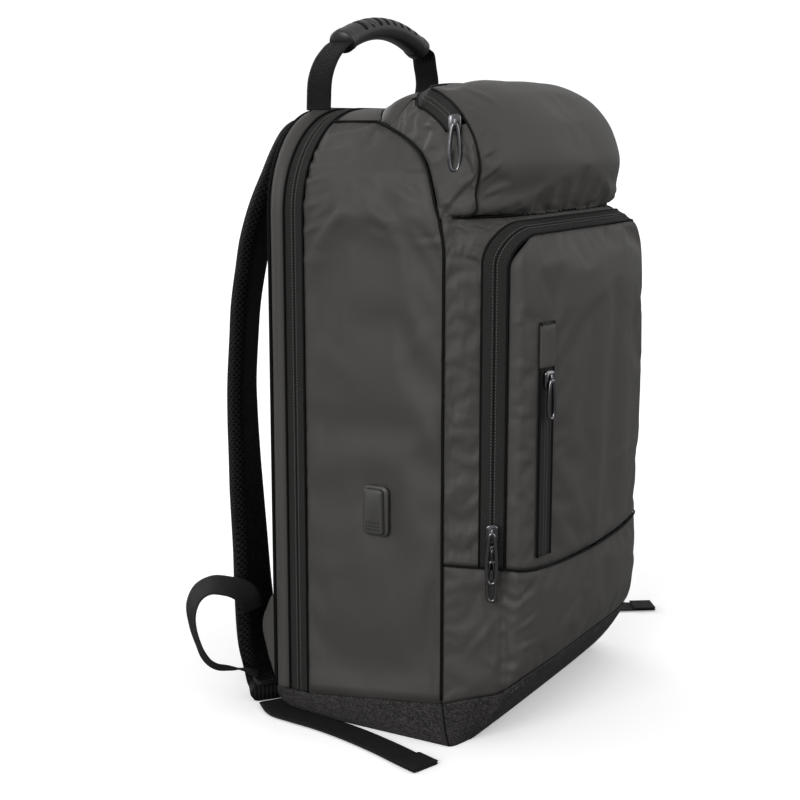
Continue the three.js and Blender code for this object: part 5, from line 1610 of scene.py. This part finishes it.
for word, sign in SIDES:
    end = grip_path(sign) + [0, 0, HANDLE_LIFT]
    way = unit(end - HANDLE_LIFT * np.array([0, 0, 1]) - grip_path(sign * 0.98))
    foot_x = sign * HANDLE_FOOT_SPAN / 2
    foot = np.array([foot_x, HANDLE_FOOT_Y, arch_height(abs(foot_x) - WEBBING, BACK_Y) + PIECE_GAP])
    points = [
        end - way * 6,
        end + way * 0.3,
        end + way * GRIP_DEPTH * 0.45,
        (foot_x - sign * 5, HANDLE_Y, end[2] - GRIP_DEPTH * 0.75),
        (foot_x + sign * 1.5, mix(foot[1], HANDLE_Y, 0.6), mix(foot[2], end[2], 0.45)),
        foot + [0, 0, HANDLE_RISE * 0.08],
        foot,
    ]
    path = resample(points, 80)
    acrosses = [(0, 1, 0)] * 80
    strap = ribbon(f"handle_strap_{word}", path, acrosses, WEBBING_WIDTH * 0.9, WEBBING * 1.6, "webbing")
    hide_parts(f"handle_webbing_{word}")

# Zip sliders and pulls, each at its place on the frame


def axes_of(facing):
    """Right, up and outward for something that faces a direction, in degrees from -Y towards -X."""
    turn = math.radians(facing)
    outward = np.array([-math.sin(turn), -math.cos(turn), 0])
    right = np.array([math.cos(turn), -math.sin(turn), 0])
    return right, np.array([0, 0, 1.0]), outward


def placing(at, right, up, outward):
    place = np.eye(4)
    place[:3, 0] = right
    place[:3, 1] = up
    place[:3, 2] = outward
    place[:3, 3] = at
    return place


def zip_pull(name, at, facing, length, hang, slim=1.0):
    right, up, outward = axes_of(facing)
    place = placing(at, right, up, outward)
    body = rounded_rectangle(SLIDER_WIDTH, SLIDER_LENGTH, 3)
    slider = solid(f"{name}_body", body, 0, 3.2, 1.0, "gunmetal", place)
    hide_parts(f"{name}_slider")
    bridge = [(0, -4, 3.0), (0, -3.6, 4.4), (0, 0, 5.0), (0, 3.6, 4.4), (0, 4, 3.0)]
    bridge = resample(bridge, 24) @ place[:3, :3].T + at
    tube(f"{name}_bridge", bridge, 0.9, "gunmetal")
    half = PULL_WIDTH / 2 * slim
    ring = []
    for i in range(48):
        angle = 2 * math.pi * i / 48
        y = -hang + (length / 2 - 1) * math.sin(angle)
        narrow = mix(0.6, 1.1, (1 - math.sin(angle)) / 2)
        x = (half - 1) * narrow * np.sign(math.cos(angle)) * abs(math.cos(angle)) ** 0.55
        ring.append((x, y, 5.1))
    ring.append(ring[0])
    loop = resample(ring, 72)[:-1] @ place[:3, :3].T + at
    bail = tube_ring(f"{name}_loop", loop, 1.45, "gunmetal")
    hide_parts(f"{name}_pull")


def tube_ring(name, path, radius, slot, sides=10):
    """A closed ring of round bar."""
    count = len(path)
    along = unit(np.roll(path, -1, axis=0) - np.roll(path, 1, axis=0))
    centre = path.mean(axis=0)
    plane = unit(np.cross(path[0] - centre, path[count // 4] - centre))
    points = []
    for i in range(count):
        side = unit(np.cross(along[i], plane))
        for k in range(sides):
            angle = 2 * math.pi * k / sides
            points.append(path[i] + radius * (side * math.cos(angle) + plane * math.sin(angle)))
    faces = []
    for i in range(count):
        after = (i + 1) % count
        for k in range(sides):
            n = (k + 1) % sides
            faces.append((i * sides + k, i * sides + n, after * sides + n, after * sides + k))
    return build(name, points, faces, slot)


slot_at = on_face(SLOT_X - 1, np.array(SLOT_TOP - GARAGE_LENGTH - 14.0), 2.9)
zip_pull("slot_zip", slot_at, SLOT_FACING, PULL_LENGTH - 2, 14, 0.8)
front_at = pocket_rim(-1, 0.125, 0.5)
front_out = axes_of(FRONT_FACING)[2]
zip_pull("front_zip_upper", front_at + front_out * FRONT_PROUD, FRONT_FACING, PULL_LENGTH + 8, 18)
low_at = front_at + front_out * LOW_PROUD - [0, 0, SLIDER_LENGTH + 2]
zip_pull("front_zip_lower", low_at, FRONT_FACING, PULL_LENGTH, 20, 0.9)
top_at = mix(roll_point(-1, ZIP_END_LINE), zip_lower(-1, ZIP_END_LINE), 0.5)
top_at = top_at + axes_of(TOP_FACING)[2] * TOP_PROUD
zip_pull("top_zip", top_at, TOP_FACING, PULL_LENGTH + 2, 16)
zip_pull("main_zip", outline(1, 0.2, MAIN_ZIP_Y) + [-0.5, 0, 0], SIDE_FACING, PULL_LENGTH, 16)

# Port cover: a bevelled cap with a raised rim round it, and three rows of near-black squares on it as
# painted shade of its dimples

right, up, outward = axes_of(90)
place = placing(np.array([-HALF - 0.6, PORT_Y, PORT_Z]), right, up, outward)
flange = rounded_rectangle(PORT_WIDTH, PORT_HEIGHT, 5)
solid("port_rim", flange, -1, 2.6, 1.2, "cover_plastic", place)
cap_shape = []
for px, py in rounded_rectangle(PORT_WIDTH - 5, PORT_HEIGHT - 4, 3):
    cap_shape.append((px * (0.92 if py > 0 else 1), py))
cover = solid("port_cover", cap_shape, 0, PORT_DEPTH + 1.6, 1.6, "cover_plastic", place)
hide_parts("usb_port_cover")
for row in range(DIMPLE_ROWS):
    for column in range(DIMPLE_COLUMNS):
        spot = rounded_rectangle(DIMPLE, DIMPLE, 0.25, 2)
        at = np.array([(column - 2) * DIMPLE_PITCH, -PORT_HEIGHT / 2 + 6 + row * (DIMPLE_PITCH + 0.1)])
        dot = [(x + at[0], y + at[1]) for x, y in spot]
        solid(f"port_dimple_shade_{row}_{column}", dot, PORT_DEPTH + 1.2, PORT_DEPTH + 1.66, 0.1, "hole", place)

# Ladder locks

for word, sign in SIDES:
    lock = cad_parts[f"ladder_lock_{word}"]
    lock.data.materials.clear()
    lock.data.materials.append(MATERIALS["black_plastic"])

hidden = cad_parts["front_panel"]
hidden.data.materials.clear()
hidden.data.materials.append(MATERIALS["coated_fabric"])

# Floor, light and camera


def seen_and_bounced(tree, seen, bounced):
    """A colour for what is looked at, and a darker one for the light that comes back from it."""
    path = tree.nodes.new("ShaderNodeLightPath")
    made = tree.nodes.new("ShaderNodeMix")
    made.data_type = "RGBA"
    tree.links.new(path.outputs["Is Camera Ray"], made.inputs["Factor"])
    made.inputs["A"].default_value = (bounced, bounced, bounced, 1)
    made.inputs["B"].default_value = (seen, seen, seen, 1)
    return made.outputs["Result"]


floor_mesh = bpy.data.meshes.new("floor")
corners = [(x * FLOOR_HALF, y * FLOOR_HALF, 0) for x, y in ((-1, -1), (1, -1), (1, 1), (-1, 1))]
floor_mesh.from_pydata(corners, [], [(0, 1, 2, 3)])
floor = bpy.data.objects.new("floor", floor_mesh)
bpy.context.collection.objects.link(floor)
floor.location.z = -FLOOR_DROP
floor_material = plain("floor", (0.97, 0.97, 0.97), 0.9, specular=0.0)
floor_tree = floor_material.node_tree
floor_colour = seen_and_bounced(floor_tree, FLOOR_SEEN, FLOOR_BOUNCED)
floor_surface = floor_tree.nodes["Principled BSDF"]
floor_tree.links.new(floor_colour, floor_surface.inputs["Base Color"])
floor_tree.links.new(seen_and_bounced(floor_tree, FLOOR_GLOW, 0.0), floor_surface.inputs["Emission Color"])
floor_surface.inputs["Emission Strength"].default_value = 1.0
floor.data.materials.append(floor_material)

world = bpy.data.worlds.new("studio")
bpy.context.scene.world = world
world.use_nodes = True
backdrop = world.node_tree.nodes["Background"]
sky_colour = seen_and_bounced(world.node_tree, SKY_SEEN, SKY_BOUNCED)
world.node_tree.links.new(sky_colour, backdrop.inputs["Color"])
backdrop.inputs["Strength"].default_value = SKY_STRENGTH

for sun in SUNS:
    data = bpy.data.lights.new(sun["name"], "SUN")
    data.energy = sun["strength"]
    data.angle = math.radians(sun["softness"])
    light = bpy.data.objects.new(sun["name"], data)
    bpy.context.collection.objects.link(light)
    light.rotation_mode = "QUATERNION"
    source = Vector((sun["x"], sun["y"], sun["z"]))
    light.rotation_quaternion = (-source).to_track_quat("-Z", "Y")

camera_data = bpy.data.cameras.new("camera")
camera_data.lens = LENS
camera_data.sensor_width = 36
camera = bpy.data.objects.new("camera", camera_data)
bpy.context.collection.objects.link(camera)
yaw = math.radians(CAMERA_TURN)
pitch = math.radians(CAMERA_PITCH)
forward = Vector((math.cos(yaw) * math.cos(pitch), math.sin(yaw) * math.cos(pitch), -math.sin(pitch)))
camera.rotation_mode = "QUATERNION"
camera.rotation_quaternion = forward.to_track_quat("-Z", "Y")
camera.location = Vector(CAMERA_AT) * MM
bpy.context.scene.camera = camera
bpy.context.scene.view_settings.view_transform = "Standard"
